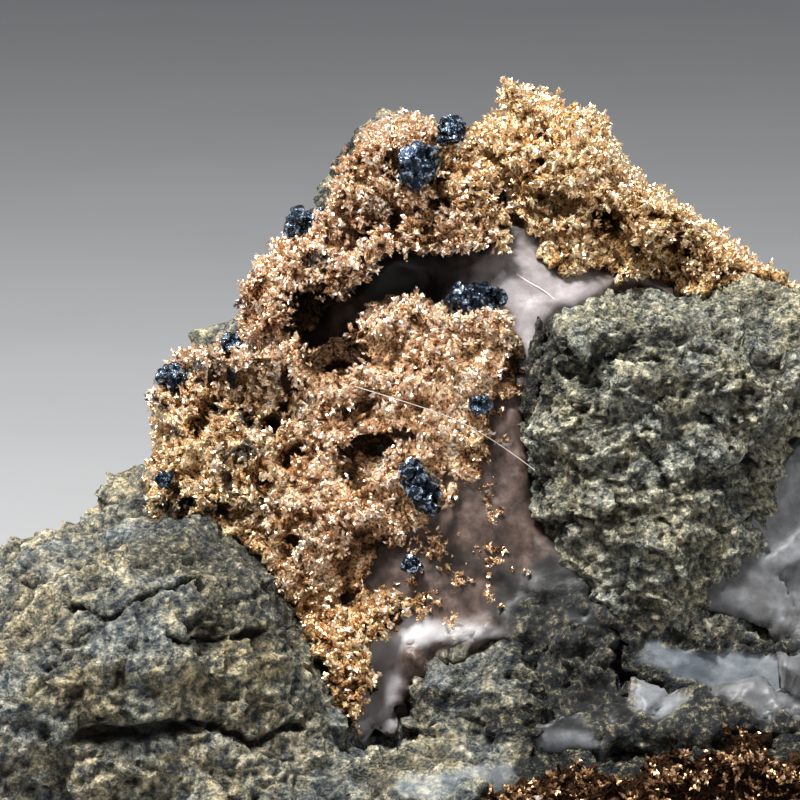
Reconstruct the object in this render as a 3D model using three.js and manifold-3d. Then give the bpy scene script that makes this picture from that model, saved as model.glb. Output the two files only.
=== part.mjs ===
// Native silver on calcite: a loose hand specimen, 55 mm wide, that stands on a flat underside.
// Wall rock and one broken block of it are cemented by white calcite, a mossy silver crust grows over both,
// and small clusters of black ore crystals sit in the silver.
// Millimetres, +Z up. The show side faces -Y, and the origin is under the middle of the whole specimen.
import * as THREE from "three";
import Module from "manifold-3d";
import { ImprovedNoise } from "three/addons/math/ImprovedNoise.js";
import { mergeVertices } from "three/addons/utils/BufferGeometryUtils.js";

const wasm = await Module();
wasm.setup();

// Driving dimensions
const PIECE_GAP = 0.3; // clearance between two pieces that touch
const UNDERSIDE = 0; // height of the flat underside
const WELD_DISTANCE = 1e-4; // corners closer than this are one corner
const LONGEST_SHIFT = 3; // a sharp corner moves at most this many times as far as its faces
const CUTTER_SIZE = 120; // edge of the box that cuts the underside flat
const SPRIG_CRYSTALS = 2; // crystals in each lone sprig of silver
const SPRIG_SLENDERNESS = 0.4; // width of a sprig's crystal for its length
const TIP_SIZES = { least: 0.7, spread: 0.6 }; // how much the silver crystals differ in size
const CUBE_SIZES = { middle: 1.2, least: 0.7, spread: 0.5 }; // the same for the black cubes
const CREASE_LEVEL = 0.6; // how far the creases between billowed lumps lie under the stone's own surface
const RELIEF_SHIFTS = { stone: 17.3, layer: 5.7, start: 0.5 }; // keep the reliefs of two stones apart
const FIRST_CLUSTER_SEED = 31;
const FIRST_SPRIG_SEED = 51;
const STREAM = { factor: 16807, period: 2147483647, spacing: 7919 }; // a plain repeatable random stream

// Surface relief, from the coarsest layer to the finest
const ROCK_RELIEF = [
  { cell: 7, height: 1.3 },
  { cell: 3.4, height: 0.5 },
];
const WALL_RELIEF = [
  { cell: 6, height: 0.9 },
  { cell: 3, height: 0.5 },
];
const BLOCK_RELIEF = [
  { cell: 4, height: 0.9 },
  { cell: 1.7, height: 0.55 },
];
const CALCITE_RELIEF = [{ cell: 6, height: 0.8 }];
const SILVER_RELIEF = [
  { cell: 3.4, height: 1.6, billow: true },
  { cell: 1.5, height: 0.9, billow: true },
];

// Each stone is an outline in its view, a ring of [right, up] points in mm, with the depth of that ring and of
// the stone's near and far sides. The front view looks along +Y and the top view looks down.
const FOOTING = {
  view: "top",
  outline: [
    [-26.4, -8], [-20, -12.5], [-8, -14.5], [3, -15.5], [14, -15], [22, -12], [27.5, -4],
    [27, 6], [21, 13], [12, 16.5], [0, 17], [-12, 16], [-20, 12], [-26.4, 3],
  ],
  ring: 1, near: 8.5, far: -8, squareness: 0.45, relief: ROCK_RELIEF, seed: 1, detail: 3,
  facets: [
    { direction: [0.15, -1, 0.3], distance: 13.4 },
    { direction: [1, 0.25, 0.3], distance: 23.5 },
    { direction: [-0.8, 1, 0.2], distance: 20 },
  ],
};
const LEFT_SHOULDER = {
  view: "front",
  outline: [
    [-27.7, 4], [-26.3, 10.1], [-23.2, 13.9], [-20, 15.8], [-17, 17.5], [-13.5, 18.5], [-10, 18.8],
    [-6.9, 17.3], [-3.8, 13.2], [-1.8, 8], [-1.5, -2], [-25.8, -2],
  ],
  ring: 1, near: -12, far: 13, squareness: 0.55, relief: ROCK_RELIEF, seed: 2, detail: 4,
  facets: [{ direction: [-0.7, 0.8, 0.35], distance: 13 }],
  hollows: [
    { centre: [-13, -12.6, 7.4], size: [5.6, 1.5, 0.7] },
    { centre: [-21, -9.6, 12.2], size: [3.4, 1.4, 0.5] },
  ],
};
const BACK_WALL = {
  view: "front",
  outline: [
    [-10, -2], [-11.6, 12], [-12.8, 20.4], [-13, 23.8], [-12.4, 25.4], [-10, 26.2], [-7.6, 28],
    [-5.7, 31], [-4, 33.4], [-3.2, 36.4], [-2.4, 38.2], [-0.4, 38.6], [1.4, 37.4], [5, 36],
    [8.3, 30.8], [12, 24], [14, -2],
  ],
  ring: 9.5, near: 6, far: 16, squareness: 0.5, relief: WALL_RELIEF, seed: 3, detail: 3,
  facets: [{ direction: [-0.45, 1, 0.45], distance: 10 }],
};
const BACK_FILL = {
  view: "front",
  outline: [
    [-18, -2], [-17.4, 12], [-16.4, 17.4], [-14, 19.8], [-10, 20.6], [-2, 23], [8, 24], [15, 21], [20, 14],
    [23, 6], [23, -2],
  ],
  ring: 8, near: 2, far: 15.5, squareness: 0.55, relief: WALL_RELIEF, seed: 16, detail: 3,
  facets: [{ direction: [0.4, 1, 0.5], distance: 8.6 }],
};
const FRONT_LEDGE = {
  view: "front",
  outline: [
    [-0.2, 11.6], [2, 12.7], [4.9, 13.5], [6.4, 13.2], [6.8, 9], [7.4, 4], [0.6, 4],
  ],
  ring: -3, near: -7.4, far: 3, squareness: 0.5, lean: 0.35, relief: BLOCK_RELIEF, seed: 4, detail: 2,
};
const SHADED_LEDGE = {
  view: "front",
  outline: [
    [5, 11], [8, 14.6], [10.5, 15.4], [12.4, 12.6], [13.5, 6], [6, 5],
  ],
  ring: -1, near: -4.6, far: 4, squareness: 0.5, lean: 0.4, relief: BLOCK_RELIEF, seed: 5, detail: 2,
};
const RIGHT_LEDGE = {
  view: "front",
  outline: [
    [11, 13.6], [13, 15.2], [15, 15.4], [17, 14.6], [20.6, 12.4], [20.8, 10.4], [16, 8.6], [11.6, 10.4],
  ],
  ring: -1, near: -4.8, far: 3, squareness: 0.6, lean: 0.3, relief: BLOCK_RELIEF, seed: 6, detail: 2,
};
const FRONT_STEP = {
  view: "front",
  outline: [
    [8, 7.6], [11.7, 8.8], [14.6, 9.6], [17.5, 9.4], [21, 10.6], [23.6, 9.5], [24.5, 3], [8, 3],
  ],
  ring: -6, near: -10.5, far: 2, squareness: 0.5, relief: BLOCK_RELIEF, seed: 7, detail: 2,
};
const BLOCK = {
  view: "front",
  outline: [
    [7, 28.9], [8.7, 29.2], [10.6, 29.8], [15.9, 29.6], [18.4, 30.2], [20.7, 30.1], [22, 28.3], [21.8, 25],
    [18.5, 20.7], [16, 15.4], [12.9, 13.1], [11.7, 12.7], [10.7, 13.3], [8.2, 16.1], [6.8, 17.5],
    [6.5, 19.9], [6.7, 23], [6.2, 25], [6.5, 27],
  ],
  ring: 1.5, near: -3.5, far: 9, squareness: 0.5, relief: BLOCK_RELIEF, seed: 8, detail: 4,
  facets: [
    { direction: [0.15, -0.6, 0.79], distance: 6.2 },
    { direction: [-0.85, -0.5, 0.1], distance: 6.4 },
    { direction: [0.5, -0.8, -0.35], distance: 5.6 },
  ],
  hollows: [
    { centre: [8.9, -2.8, 26.9], size: [1.7, 1.5, 1] },
    { centre: [12.4, -3, 27.4], size: [2.2, 1.2, 0.6] },
  ],
};
const CALCITE = {
  view: "front",
  outline: [
    [-3.5, 29.6], [0, 32.7], [4, 33.3], [6.3, 33.6], [10.1, 31.2], [18.2, 28.3], [22.4, 24.5],
    [24.2, 19.3], [24.6, 13.1], [24.4, 7.8], [22, 3], [-1.4, 2.6], [-2.8, 5.7], [-4, 12], [-5.6, 24.5],
  ],
  ring: 5, near: -1.5, far: 12, squareness: 0.5, lean: 0.36, relief: CALCITE_RELIEF, seed: 9, detail: 3,
  facets: [
    { direction: [1, 0.1, 0.35], distance: 14.5 },
    { direction: [0.55, -0.6, 0.75], distance: 10.6 },
    { direction: [0.1, 1, 0.3], distance: 9.5 },
  ],
  hollows: [{ centre: [-0.6, 2.8, 30.2], size: [3.1, 3, 1.5] }],
};
const CALCITE_APRON = {
  view: "front",
  outline: [
    [-2, 9.4], [1.5, 10.6], [11.5, 12], [14.2, 11.9], [21, 12.6], [23.5, 8], [23, 3], [-1, 3],
  ],
  ring: -2, near: -7.6, far: 4, squareness: 0.5, lean: 0.25, relief: CALCITE_RELIEF, seed: 15, detail: 2,
};
const SILVER_FRONT = {
  view: "front",
  outline: [
    [-9.3, 27.8], [-11.8, 26.4], [-13.1, 24.2], [-13.3, 21.8], [-12.6, 19.5], [-11.6, 17.9], [-9.4, 18],
    [-8.6, 16.2], [-6.9, 14.6], [-4.4, 13.6], [-1.6, 14.2], [0.6, 16], [2.4, 18.4], [4.8, 19.6],
    [6.4, 21.4], [6.8, 24], [7, 27], [6.6, 29.2], [4.4, 30], [0.6, 30], [-1.8, 29.8], [-3, 28.4],
    [-4.4, 27.2], [-5.2, 28],
  ],
  ring: 2.5, near: -2.6, far: 7, squareness: 0.55, lean: 0.2, relief: SILVER_RELIEF, seed: 10, detail: 4,
  tips: { count: 8, length: 0.9, width: 0.42 },
  hollows: [
    { centre: [-1.8, -1.6, 22.4], size: [1.6, 1.3, 0.9] },
    { centre: [-8.2, -1.9, 19.6], size: [1.4, 1.4, 0.7] },
  ],
};
const SILVER_ARCH = {
  view: "front",
  outline: [
    [-8.8, 27.6], [-8, 29.8], [-6.2, 33], [-4.2, 35], [-3.4, 36.8], [-1.6, 38.2], [1.6, 38.4],
    [4, 37.6], [5.4, 35], [6.8, 32.6], [5.6, 31.2], [3.6, 31.6], [0, 31.6], [-2.2, 30.4], [-3.6, 28.2],
    [-5.4, 26.8], [-7.6, 26.2],
  ],
  ring: 5.4, near: 0.8, far: 9, squareness: 0.6, relief: SILVER_RELIEF, seed: 11, detail: 3,
  tips: { count: 5, length: 0.9, width: 0.42 },
  hollows: [{ centre: [-4.4, 2.2, 29.6], size: [1.5, 1.6, 0.8] }],
};
const SILVER_CREST = {
  view: "front",
  outline: [
    [3, 38.4], [6.2, 39.7], [8.2, 39.4], [10.2, 38.4], [11.2, 37], [11.6, 35.6], [14.5, 33.9], [17.5, 31.7],
    [20.2, 29.6], [22, 28.4], [18.6, 27.4], [12.4, 28], [9.7, 29.9], [6.3, 31.8], [4.4, 33.2], [2, 36],
  ],
  ring: 8.5, near: 3.2, far: 13.5, squareness: 0.6, relief: SILVER_RELIEF, seed: 12, detail: 4,
  tips: { count: 8, length: 0.9, width: 0.45 },
  hollows: [
    { centre: [13, 4.2, 30.2], size: [1.9, 1.8, 0.9] },
    { centre: [7.9, 4.4, 34.2], size: [1.6, 1.6, 1] },
  ],
};
const SILVER_TAIL = {
  view: "front",
  outline: [
    [-6.2, 14.2], [-5.4, 15.4], [-2.5, 16], [0.2, 16.4], [0.9, 15], [-0.8, 12.7], [-1.5, 10.6],
    [-2.4, 8.6], [-3.6, 11.1], [-5.3, 12.9],
  ],
  ring: -2, near: -6.6, far: 4, squareness: 0.6, lean: 0.4, relief: SILVER_RELIEF, seed: 13, detail: 3,
  tips: { count: 4, length: 0.8, width: 0.38 },
};
const SILVER_FOOT = {
  view: "front",
  outline: [
    [1.4, 7.4], [5.7, 9], [10.5, 9.2], [14.3, 9.8], [18.2, 10.2], [20.4, 9], [21, 6.4], [18, 4.2],
    [11.5, 3], [4.2, 3.4], [1.6, 5],
  ],
  ring: -11, near: -13.8, far: -7, squareness: 0.55, relief: SILVER_RELIEF, seed: 14, detail: 3,
  tips: { count: 4, length: 0.9, width: 0.45 },
};

// Clusters of black crystals: where each one sits, how far its crystals spread, and their number and size.
const BLACK_CLUSTERS = {
  black_cluster_cavity: { centre: [4, 1.6, 30.2], spread: [1.1, 0.4, 0.5], count: 4, edge: 1.2 },
  black_cluster_centre: { centre: [1, -3.6, 21.1], spread: [0.7, 0.3, 0.8], count: 4, edge: 1 },
  black_cluster_top: { centre: [0.5, 1.6, 37], spread: [0.8, 0.4, 0.7], count: 4, edge: 1.2 },
  black_cluster_shoulder: { centre: [-4.5, 5, 33.2], spread: [0.4, 0.4, 0.5], count: 2, edge: 1 },
  black_cluster_left: { centre: [-11.4, 1.6, 26.2], spread: [0.4, 0.3, 0.3], count: 2, edge: 0.8 },
  black_cluster_notch: { centre: [-8.6, -0.4, 28.3], spread: [0.3, 0.3, 0.2], count: 2, edge: 0.7 },
  black_cluster_low: { centre: [0.5, -3.6, 17.4], spread: [0.2, 0.2, 0.3], count: 2, edge: 0.6 },
  black_cluster_edge: { centre: [4.1, -1.9, 25.1], spread: [0.2, 0.2, 0.2], count: 2, edge: 0.7 },
  black_cluster_rim: { centre: [-11.9, -2.2, 21.3], spread: [0.4, 0.3, 0.2], count: 2, edge: 0.7 },
  black_cluster_crest: { centre: [2.9, 4, 38], spread: [0.4, 0.4, 0.3], count: 2, edge: 1 },
};

// Sprigs of silver that stand alone on the calcite: where each is rooted and how far its crystals reach.
const SPRIGS = {
  silver_sprig_upper: { root: [4.6, -2.2, 19.6], reach: 0.9 },
  silver_sprig_middle: { root: [4.8, -2.8, 17.4], reach: 0.7 },
  silver_sprig_tall: { root: [0.9, -3.9, 15.3], reach: 1.1 },
  silver_sprig_small: { root: [2.8, -3.4, 16.5], reach: 0.8 },
  silver_sprig_right: { root: [4.3, -3.5, 15.8], reach: 0.9 },
  silver_sprig_low: { root: [2.5, -4.2, 14.7], reach: 0.6 },
};

const MATERIALS = {
  wallRock: new THREE.MeshStandardMaterial({ color: 0x6f7265, roughness: 0.95 }),
  brokenBlock: new THREE.MeshStandardMaterial({ color: 0x757a6b, roughness: 0.97 }),
  calcite: new THREE.MeshStandardMaterial({ color: 0xcfc7c6, roughness: 0.35 }),
  silver: new THREE.MeshStandardMaterial({ color: 0xc79c6c, roughness: 0.35, metalness: 1 }),
  blackOre: new THREE.MeshStandardMaterial({ color: 0x1c242c, roughness: 0.3, metalness: 0.7 }),
};

const perlin = new ImprovedNoise();

// A repeatable stream of numbers from 0 to 1.
function randomStream(seed) {
  let state = (seed + 1) * STREAM.spacing;
  return () => {
    state = (state * STREAM.factor) % STREAM.period;
    return state / STREAM.period;
  };
}

// Height of the relief at a point. A billowed layer makes round lumps between creases.
function reliefAt(point, relief, seed) {
  let height = 0;
  relief.forEach((layer, index) => {
    const shift = RELIEF_SHIFTS.stone * seed + RELIEF_SHIFTS.layer * index + RELIEF_SHIFTS.start;
    const value = perlin.noise(
      point.x / layer.cell + shift,
      point.y / layer.cell + shift,
      point.z / layer.cell - shift,
    );
    height += layer.height * (layer.billow ? 2 * Math.abs(value) - CREASE_LEVEL : value);
  });
  return height;
}

// How far the ring of points lies from its heart at an angle.
function ringReach(ring, heart, angle) {
  const direction = new THREE.Vector2(Math.cos(angle), Math.sin(angle));
  let nearest = Infinity;
  ring.forEach((start, i) => {
    const side = ring[(i + 1) % ring.length].clone().sub(start);
    const toStart = start.clone().sub(heart);
    const slant = direction.cross(side);
    const along = toStart.cross(side) / slant;
    const across = toStart.cross(direction) / slant;
    if (along > 0 && across >= 0 && across <= 1) nearest = Math.min(nearest, along);
  });
  return nearest;
}

// A closed stone with that outline in its view. Its facets are flat breaks.
function stoneGeometry(form) {
  const outline = form.outline.map(([right, up]) => new THREE.Vector2(right, up));
  const heart = outline.reduce((sum, point) => sum.add(point), new THREE.Vector2());
  heart.divideScalar(outline.length);
  const toSpecimen = (right, up, toViewer) =>
    form.view === "front"
      ? new THREE.Vector3(right, form.ring - toViewer + (form.lean ?? 0) * (up - heart.y), up)
      : new THREE.Vector3(right, up, form.ring + toViewer);
  const centre = toSpecimen(heart.x, heart.y, 0);
  const geometry = new THREE.IcosahedronGeometry(1, form.detail);
  const position = geometry.getAttribute("position");
  const ray = new THREE.Vector3();
  for (let i = 0; i < position.count; i++) {
    ray.fromBufferAttribute(position, i).normalize();
    const angle = Math.atan2(ray.y, ray.x);
    const width = ringReach(outline, heart, angle);
    const depth = Math.abs((ray.z > 0 ? form.near : form.far) - form.ring);
    const across = width * Math.hypot(ray.x, ray.y) ** form.squareness;
    const toViewer = Math.sign(ray.z) * depth * Math.abs(ray.z) ** form.squareness;
    const point = toSpecimen(
      heart.x + across * Math.cos(angle),
      heart.y + across * Math.sin(angle),
      toViewer,
    );
    for (const { direction, distance } of form.facets ?? []) {
      const arm = point.clone().sub(centre);
      const past = arm.dot(new THREE.Vector3(...direction).normalize()) / distance;
      if (past > 1) point.copy(centre).addScaledVector(arm, 1 / past);
    }
    const outward = toSpecimen(heart.x + ray.x / width, heart.y + ray.y / width, ray.z / depth)
      .sub(centre)
      .normalize();
    point.addScaledVector(outward, reliefAt(point, form.relief, form.seed));
    position.setXYZ(i, point.x, point.y, point.z);
  }
  return welded(geometry);
}

// A geometry whose faces share their corners.
function welded(geometry) {
  const merged = mergeVertices(geometry.deleteAttribute("normal").deleteAttribute("uv"), WELD_DISTANCE);
  merged.computeVertexNormals();
  return merged;
}

// How far each corner moves, for every face around it to move outwards by 1, up to a limit at sharp corners.
function cornerShifts(geometry) {
  const position = geometry.getAttribute("position");
  const normal = geometry.getAttribute("normal");
  const index = geometry.index.array;
  const least = new Float32Array(position.count).fill(1);
  const corners = [new THREE.Vector3(), new THREE.Vector3(), new THREE.Vector3()];
  const across = new THREE.Vector3();
  for (let i = 0; i < index.length; i += 3) {
    corners.forEach((corner, j) => corner.fromBufferAttribute(position, index[i + j]));
    const face = new THREE.Triangle(...corners).getNormal(new THREE.Vector3());
    for (let j = i; j < i + 3; j++) {
      const agreement = face.dot(across.fromBufferAttribute(normal, index[j]));
      least[index[j]] = Math.min(least[index[j]], agreement);
    }
  }
  return normal.array.map((value, i) => value / Math.max(least[Math.floor(i / 3)], 1 / LONGEST_SHIFT));
}

// A welded geometry as a solid for joining and cutting, with its faces moved outwards by grow.
function solidOf(geometry, grow = 0) {
  const shifts = cornerShifts(geometry);
  const vertProperties = geometry.getAttribute("position").array.map((value, i) => value + grow * shifts[i]);
  const triVerts = new Uint32Array(geometry.index.array);
  return new wasm.Manifold(new wasm.Mesh({ numProp: 3, vertProperties, triVerts }));
}

const stone = (form, grow) => solidOf(stoneGeometry(form), grow);
const fuse = (solids) => solids.reduce((whole, solid) => whole.add(solid));

// The largest body that is left of a solid once the blockers are cut away.
function clearOf(solid, blockers) {
  const left = blockers.reduce((rest, blocker) => rest.subtract(blocker), solid);
  return left.decompose().reduce((best, body) => (body.volume() > best.volume() ? body : best));
}

// A rounded hollow, as a solid to cut away.
function hollowSolid({ centre, size }) {
  return solidOf(welded(new THREE.IcosahedronGeometry(1, 1).scale(...size).translate(...centre)));
}

// A stone less its hollows.
function hollowedStone(form) {
  const hollows = (form.hollows ?? []).map(hollowSolid);
  return hollows.reduce((rest, hollow) => rest.subtract(hollow), stone(form));
}

// Small eight-sided crystals rooted in a lump of silver and pointing outwards.
function crystalTips(form, grow) {
  const { count, length, width } = form.tips;
  const random = randomStream(form.seed);
  const surface = stoneGeometry(form);
  const roots = surface.getAttribute("position");
  const normals = surface.getAttribute("normal");
  return Array.from({ length: count }, () => {
    const at = Math.floor(random() * roots.count);
    const jitter = new THREE.Vector3(random() - 0.5, random() - 0.5, random() - 0.5);
    const outward = new THREE.Vector3().fromBufferAttribute(normals, at).add(jitter).normalize();
    const turn = new THREE.Quaternion().setFromUnitVectors(new THREE.Vector3(0, 0, 1), outward);
    const size = TIP_SIZES.least + TIP_SIZES.spread * random();
    const crystal = new THREE.OctahedronGeometry(1).scale(width * size, width * size, length * size);
    crystal.applyQuaternion(turn).translate(roots.getX(at), roots.getY(at), roots.getZ(at));
    return solidOf(welded(crystal), grow);
  });
}

// One crust of silver: its hollowed lump with its crystals.
function silverCrust(form) {
  return fuse([hollowedStone(form), ...crystalTips(form)]);
}

// A sprig of silver: eight-sided crystals that fan out from one root.
function sprigSolid({ root, reach }, seed) {
  const random = randomStream(seed);
  const crystals = Array.from({ length: SPRIG_CRYSTALS }, () => {
    const width = reach * SPRIG_SLENDERNESS;
    const crystal = new THREE.OctahedronGeometry(1).scale(width, width, reach);
    crystal.rotateX(Math.PI * random()).rotateY(Math.PI * random());
    return solidOf(welded(crystal.translate(...root)));
  });
  return fuse(crystals);
}

// A cluster of cubic crystals grown into each other around one middle crystal.
function cubeCluster({ centre, spread, count, edge }, seed, grow = 0) {
  const random = randomStream(seed);
  const cubes = Array.from({ length: count }, (_, i) => {
    const share = i === 0 ? CUBE_SIZES.middle : CUBE_SIZES.least + CUBE_SIZES.spread * random();
    const size = edge * share + 2 * grow;
    const cube = new THREE.BoxGeometry(size, size, size);
    cube.rotateX(Math.PI * random()).rotateZ(Math.PI * random());
    const away = spread.map((part) => (i === 0 ? 0 : part * (2 * random() - 1)));
    return solidOf(welded(cube.translate(centre[0] + away[0], centre[1] + away[1], centre[2] + away[2])));
  });
  return fuse(cubes);
}

// A finished solid as a named mesh.
function pieceMesh(name, solid, material) {
  const { vertProperties, triVerts } = solid.getMesh();
  const geometry = new THREE.BufferGeometry();
  geometry.setAttribute("position", new THREE.BufferAttribute(vertProperties, 3));
  geometry.setIndex(new THREE.BufferAttribute(triVerts, 1));
  geometry.computeVertexNormals();
  const mesh = new THREE.Mesh(geometry, material);
  mesh.name = name;
  return mesh;
}

const ROCK_FORMS = [
  FOOTING, LEFT_SHOULDER, BACK_WALL, BACK_FILL, FRONT_LEDGE, SHADED_LEDGE, RIGHT_LEDGE, FRONT_STEP,
];
const CALCITE_FORMS = [CALCITE, CALCITE_APRON];
const SILVER_FORMS = {
  silver_front: SILVER_FRONT,
  silver_arch: SILVER_ARCH,
  silver_crest: SILVER_CREST,
  silver_tail: SILVER_TAIL,
  silver_foot: SILVER_FOOT,
};

const cutter = new THREE.BoxGeometry(CUTTER_SIZE, CUTTER_SIZE, CUTTER_SIZE);
const belowGround = solidOf(welded(cutter.translate(0, 0, UNDERSIDE - CUTTER_SIZE / 2)));
const specimen = new THREE.Group();

const grownRock = fuse(ROCK_FORMS.map((form) => stone(form, PIECE_GAP)));
const rock = clearOf(fuse(ROCK_FORMS.map(hollowedStone)), [belowGround]);
specimen.add(pieceMesh("wall_rock", rock, MATERIALS.wallRock));

const grownBlock = stone(BLOCK, PIECE_GAP);
const block = clearOf(hollowedStone(BLOCK), [grownRock]);
specimen.add(pieceMesh("broken_block", block, MATERIALS.brokenBlock));

const grownCalcite = fuse(CALCITE_FORMS.map((form) => stone(form, PIECE_GAP)));
const calcite = clearOf(fuse(CALCITE_FORMS.map(hollowedStone)), [grownRock, grownBlock, belowGround]);
specimen.add(pieceMesh("calcite", calcite, MATERIALS.calcite));

const hosts = [grownRock, grownBlock, grownCalcite];
const grownClusters = Object.entries(BLACK_CLUSTERS).map(([name, cluster], index) => {
  const seed = FIRST_CLUSTER_SEED + index;
  specimen.add(pieceMesh(name, clearOf(cubeCluster(cluster, seed), hosts), MATERIALS.blackOre));
  return cubeCluster(cluster, seed, PIECE_GAP);
});

const grownSilver = [];
Object.entries(SILVER_FORMS).forEach(([name, form]) => {
  const solid = clearOf(silverCrust(form), [...hosts, ...grownClusters, ...grownSilver, belowGround]);
  specimen.add(pieceMesh(name, solid, MATERIALS.silver));
  grownSilver.push(fuse([stone(form, PIECE_GAP), ...crystalTips(form, PIECE_GAP)]));
});
Object.entries(SPRIGS).forEach(([name, sprig], index) => {
  const blockers = [...hosts, ...grownClusters, ...grownSilver];
  const solid = clearOf(sprigSolid(sprig, FIRST_SPRIG_SEED + index), blockers);
  specimen.add(pieceMesh(name, solid, MATERIALS.silver));
});

// The origin goes under the middle of the specimen, on its underside.
const extent = new THREE.Box3().setFromObject(specimen);
const middle = extent.getCenter(new THREE.Vector3());
specimen.position.set(-middle.x, -middle.y, -extent.min.z);

export default specimen;
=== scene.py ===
import math

import bmesh
import bpy
import numpy as np
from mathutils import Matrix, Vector
from mathutils.bvhtree import BVHTree
from mathutils.kdtree import KDTree


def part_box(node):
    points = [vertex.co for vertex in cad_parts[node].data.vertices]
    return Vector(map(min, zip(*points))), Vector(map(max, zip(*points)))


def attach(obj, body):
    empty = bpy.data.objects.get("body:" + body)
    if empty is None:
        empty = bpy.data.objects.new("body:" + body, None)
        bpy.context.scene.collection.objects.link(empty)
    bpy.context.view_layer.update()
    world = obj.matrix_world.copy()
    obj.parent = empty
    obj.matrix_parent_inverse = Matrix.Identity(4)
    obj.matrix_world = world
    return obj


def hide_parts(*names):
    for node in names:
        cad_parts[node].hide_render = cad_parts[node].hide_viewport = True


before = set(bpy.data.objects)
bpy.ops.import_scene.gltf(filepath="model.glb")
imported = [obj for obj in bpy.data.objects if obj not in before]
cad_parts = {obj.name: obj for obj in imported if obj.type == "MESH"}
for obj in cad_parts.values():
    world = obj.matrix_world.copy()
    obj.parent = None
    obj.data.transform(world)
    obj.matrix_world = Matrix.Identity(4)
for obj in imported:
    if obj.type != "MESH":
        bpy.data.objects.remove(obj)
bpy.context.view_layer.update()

mm = 0.001  # every length below is in millimetres

# camera: where it looks, from how far, and how wide its picture is there
view = {
    "target": (0.33, -1.2, 25.0),
    "distance": 230.0,
    "elevation": 10.0,
    "frameWidth": 40.0,
    "sensorWidth": 36.0,
    "clip": (0.01, 20.0),  # the nearest and the farthest that it sees, in metres
}
tilt = math.radians(view["elevation"])
lookRight = np.array([1.0, 0.0, 0.0])
lookForward = np.array([0.0, math.cos(tilt), -math.sin(tilt)])
lookUp = np.array([0.0, math.sin(tilt), math.cos(tilt)])
cameraPlace = np.array(view["target"]) - lookForward * view["distance"]


def addObject(name, data):
    thing = bpy.data.objects.new(name, data)
    bpy.context.scene.collection.objects.link(thing)
    return thing


def aimObject(thing, place, direction):
    thing.location = [coordinate * mm for coordinate in place]
    thing.rotation_mode = "QUATERNION"
    thing.rotation_quaternion = Vector(direction).to_track_quat("-Z", "Y")


def makeCamera():
    data = bpy.data.cameras.new("camera")
    data.sensor_width = view["sensorWidth"]
    data.lens = view["sensorWidth"] * view["distance"] / view["frameWidth"]
    data.clip_start, data.clip_end = view["clip"]
    camera = addObject("camera", data)
    aimObject(camera, cameraPlace, lookForward)
    bpy.context.scene.camera = camera


def inPicture(points, margin=1.5):  # which points fall inside the picture, margin in mm
    arm = points - cameraPlace
    scale = view["distance"] / (arm @ lookForward)
    half = view["frameWidth"] / 2 + margin
    return (np.abs(arm @ lookRight * scale) < half) & (np.abs(arm @ lookUp * scale) < half)


makeCamera()
print("camera placed")

# noise that is the same on every run
tableSize = 4096
tableRandom = np.random.default_rng(11)
shuffled = tableRandom.permutation(tableSize)
slopes = tableRandom.normal(size=(tableSize, 3))
slopes /= np.linalg.norm(slopes, axis=1)[:, None]
hearts = tableRandom.random((tableSize, 3))
seedShift = {"noise": 7.31, "grains": 3.7, "chips": 5.3}  # how many cells each seed moves a pattern


def latticeCode(corner):
    code = shuffled[corner[:, 0] & (tableSize - 1)]
    code = shuffled[(code + corner[:, 1]) & (tableSize - 1)]
    return shuffled[(code + corner[:, 2]) & (tableSize - 1)]


def noiseAt(points, cell, seed=0):  # smooth, about -1 to 1
    grid = points / cell + seed * seedShift["noise"]
    corner = np.floor(grid).astype(np.int64)
    part = grid - corner
    fade = part**3 * (part * (part * 6 - 15) + 10)
    total = np.zeros(len(points))
    for step in np.ndindex(2, 2, 2):
        slope = slopes[latticeCode(corner + step)]
        weight = np.prod(np.where(np.array(step) == 1, fade, 1 - fade), axis=1)
        total += weight * np.sum((part - step) * slope, axis=1)
    return total * 1.7


def mixedNoise(points, layers, seed):  # layers are pairs of size and height
    return sum(height * noiseAt(points, size, seed + i) for i, (size, height) in enumerate(layers))


def bent(points, bend, seed):  # points pushed about by noise, bend is its size and height
    size, height = bend
    return points + height * noiseAt(points, size, seed)[:, None]


def nearestHeart(grid):  # each cell has one heart: the way from the nearest, its distance and its code
    corner = np.floor(grid).astype(np.int64)
    part = grid - corner
    way = np.zeros_like(part)
    nearest = np.full(len(grid), 9.0)
    chosen = np.zeros(len(grid), np.int64)
    for step in np.ndindex(3, 3, 3):
        offset = np.array(step) - 1
        code = latticeCode(corner + offset)
        arm = part - (offset + hearts[code])
        distance = np.linalg.norm(arm, axis=1)
        closer = distance < nearest
        way = np.where(closer[:, None], arm, way)
        nearest = np.where(closer, distance, nearest)
        chosen = np.where(closer, code, chosen)
    return way, nearest, chosen


def grainsAt(points, cell, seed=0):  # how far the nearest grain's heart is, and that grain's own tone
    _way, nearest, chosen = nearestHeart(points / cell + seed * seedShift["grains"])
    return nearest, hearts[chosen, 0]


def chipsAt(points, layers, seed):  # flat chips that each have a slope, layers are pairs of size and slope
    height = np.zeros(len(points))
    for i, (size, slope) in enumerate(layers):
        way, _nearest, chosen = nearestHeart(points / size + (seed + i) * seedShift["chips"])
        height += np.sum(way * slopes[chosen], axis=1) * size * slope
    return height


def smoothStep(value, low, high):
    share = np.clip((value - low) / (high - low), 0, 1)
    return share * share * (3 - 2 * share)


def fallStep(value, low, high):
    return 1 - smoothStep(value, low, high)


def unit(vectors):
    return vectors / np.maximum(np.linalg.norm(vectors, axis=-1, keepdims=True), 1e-9)


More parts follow.
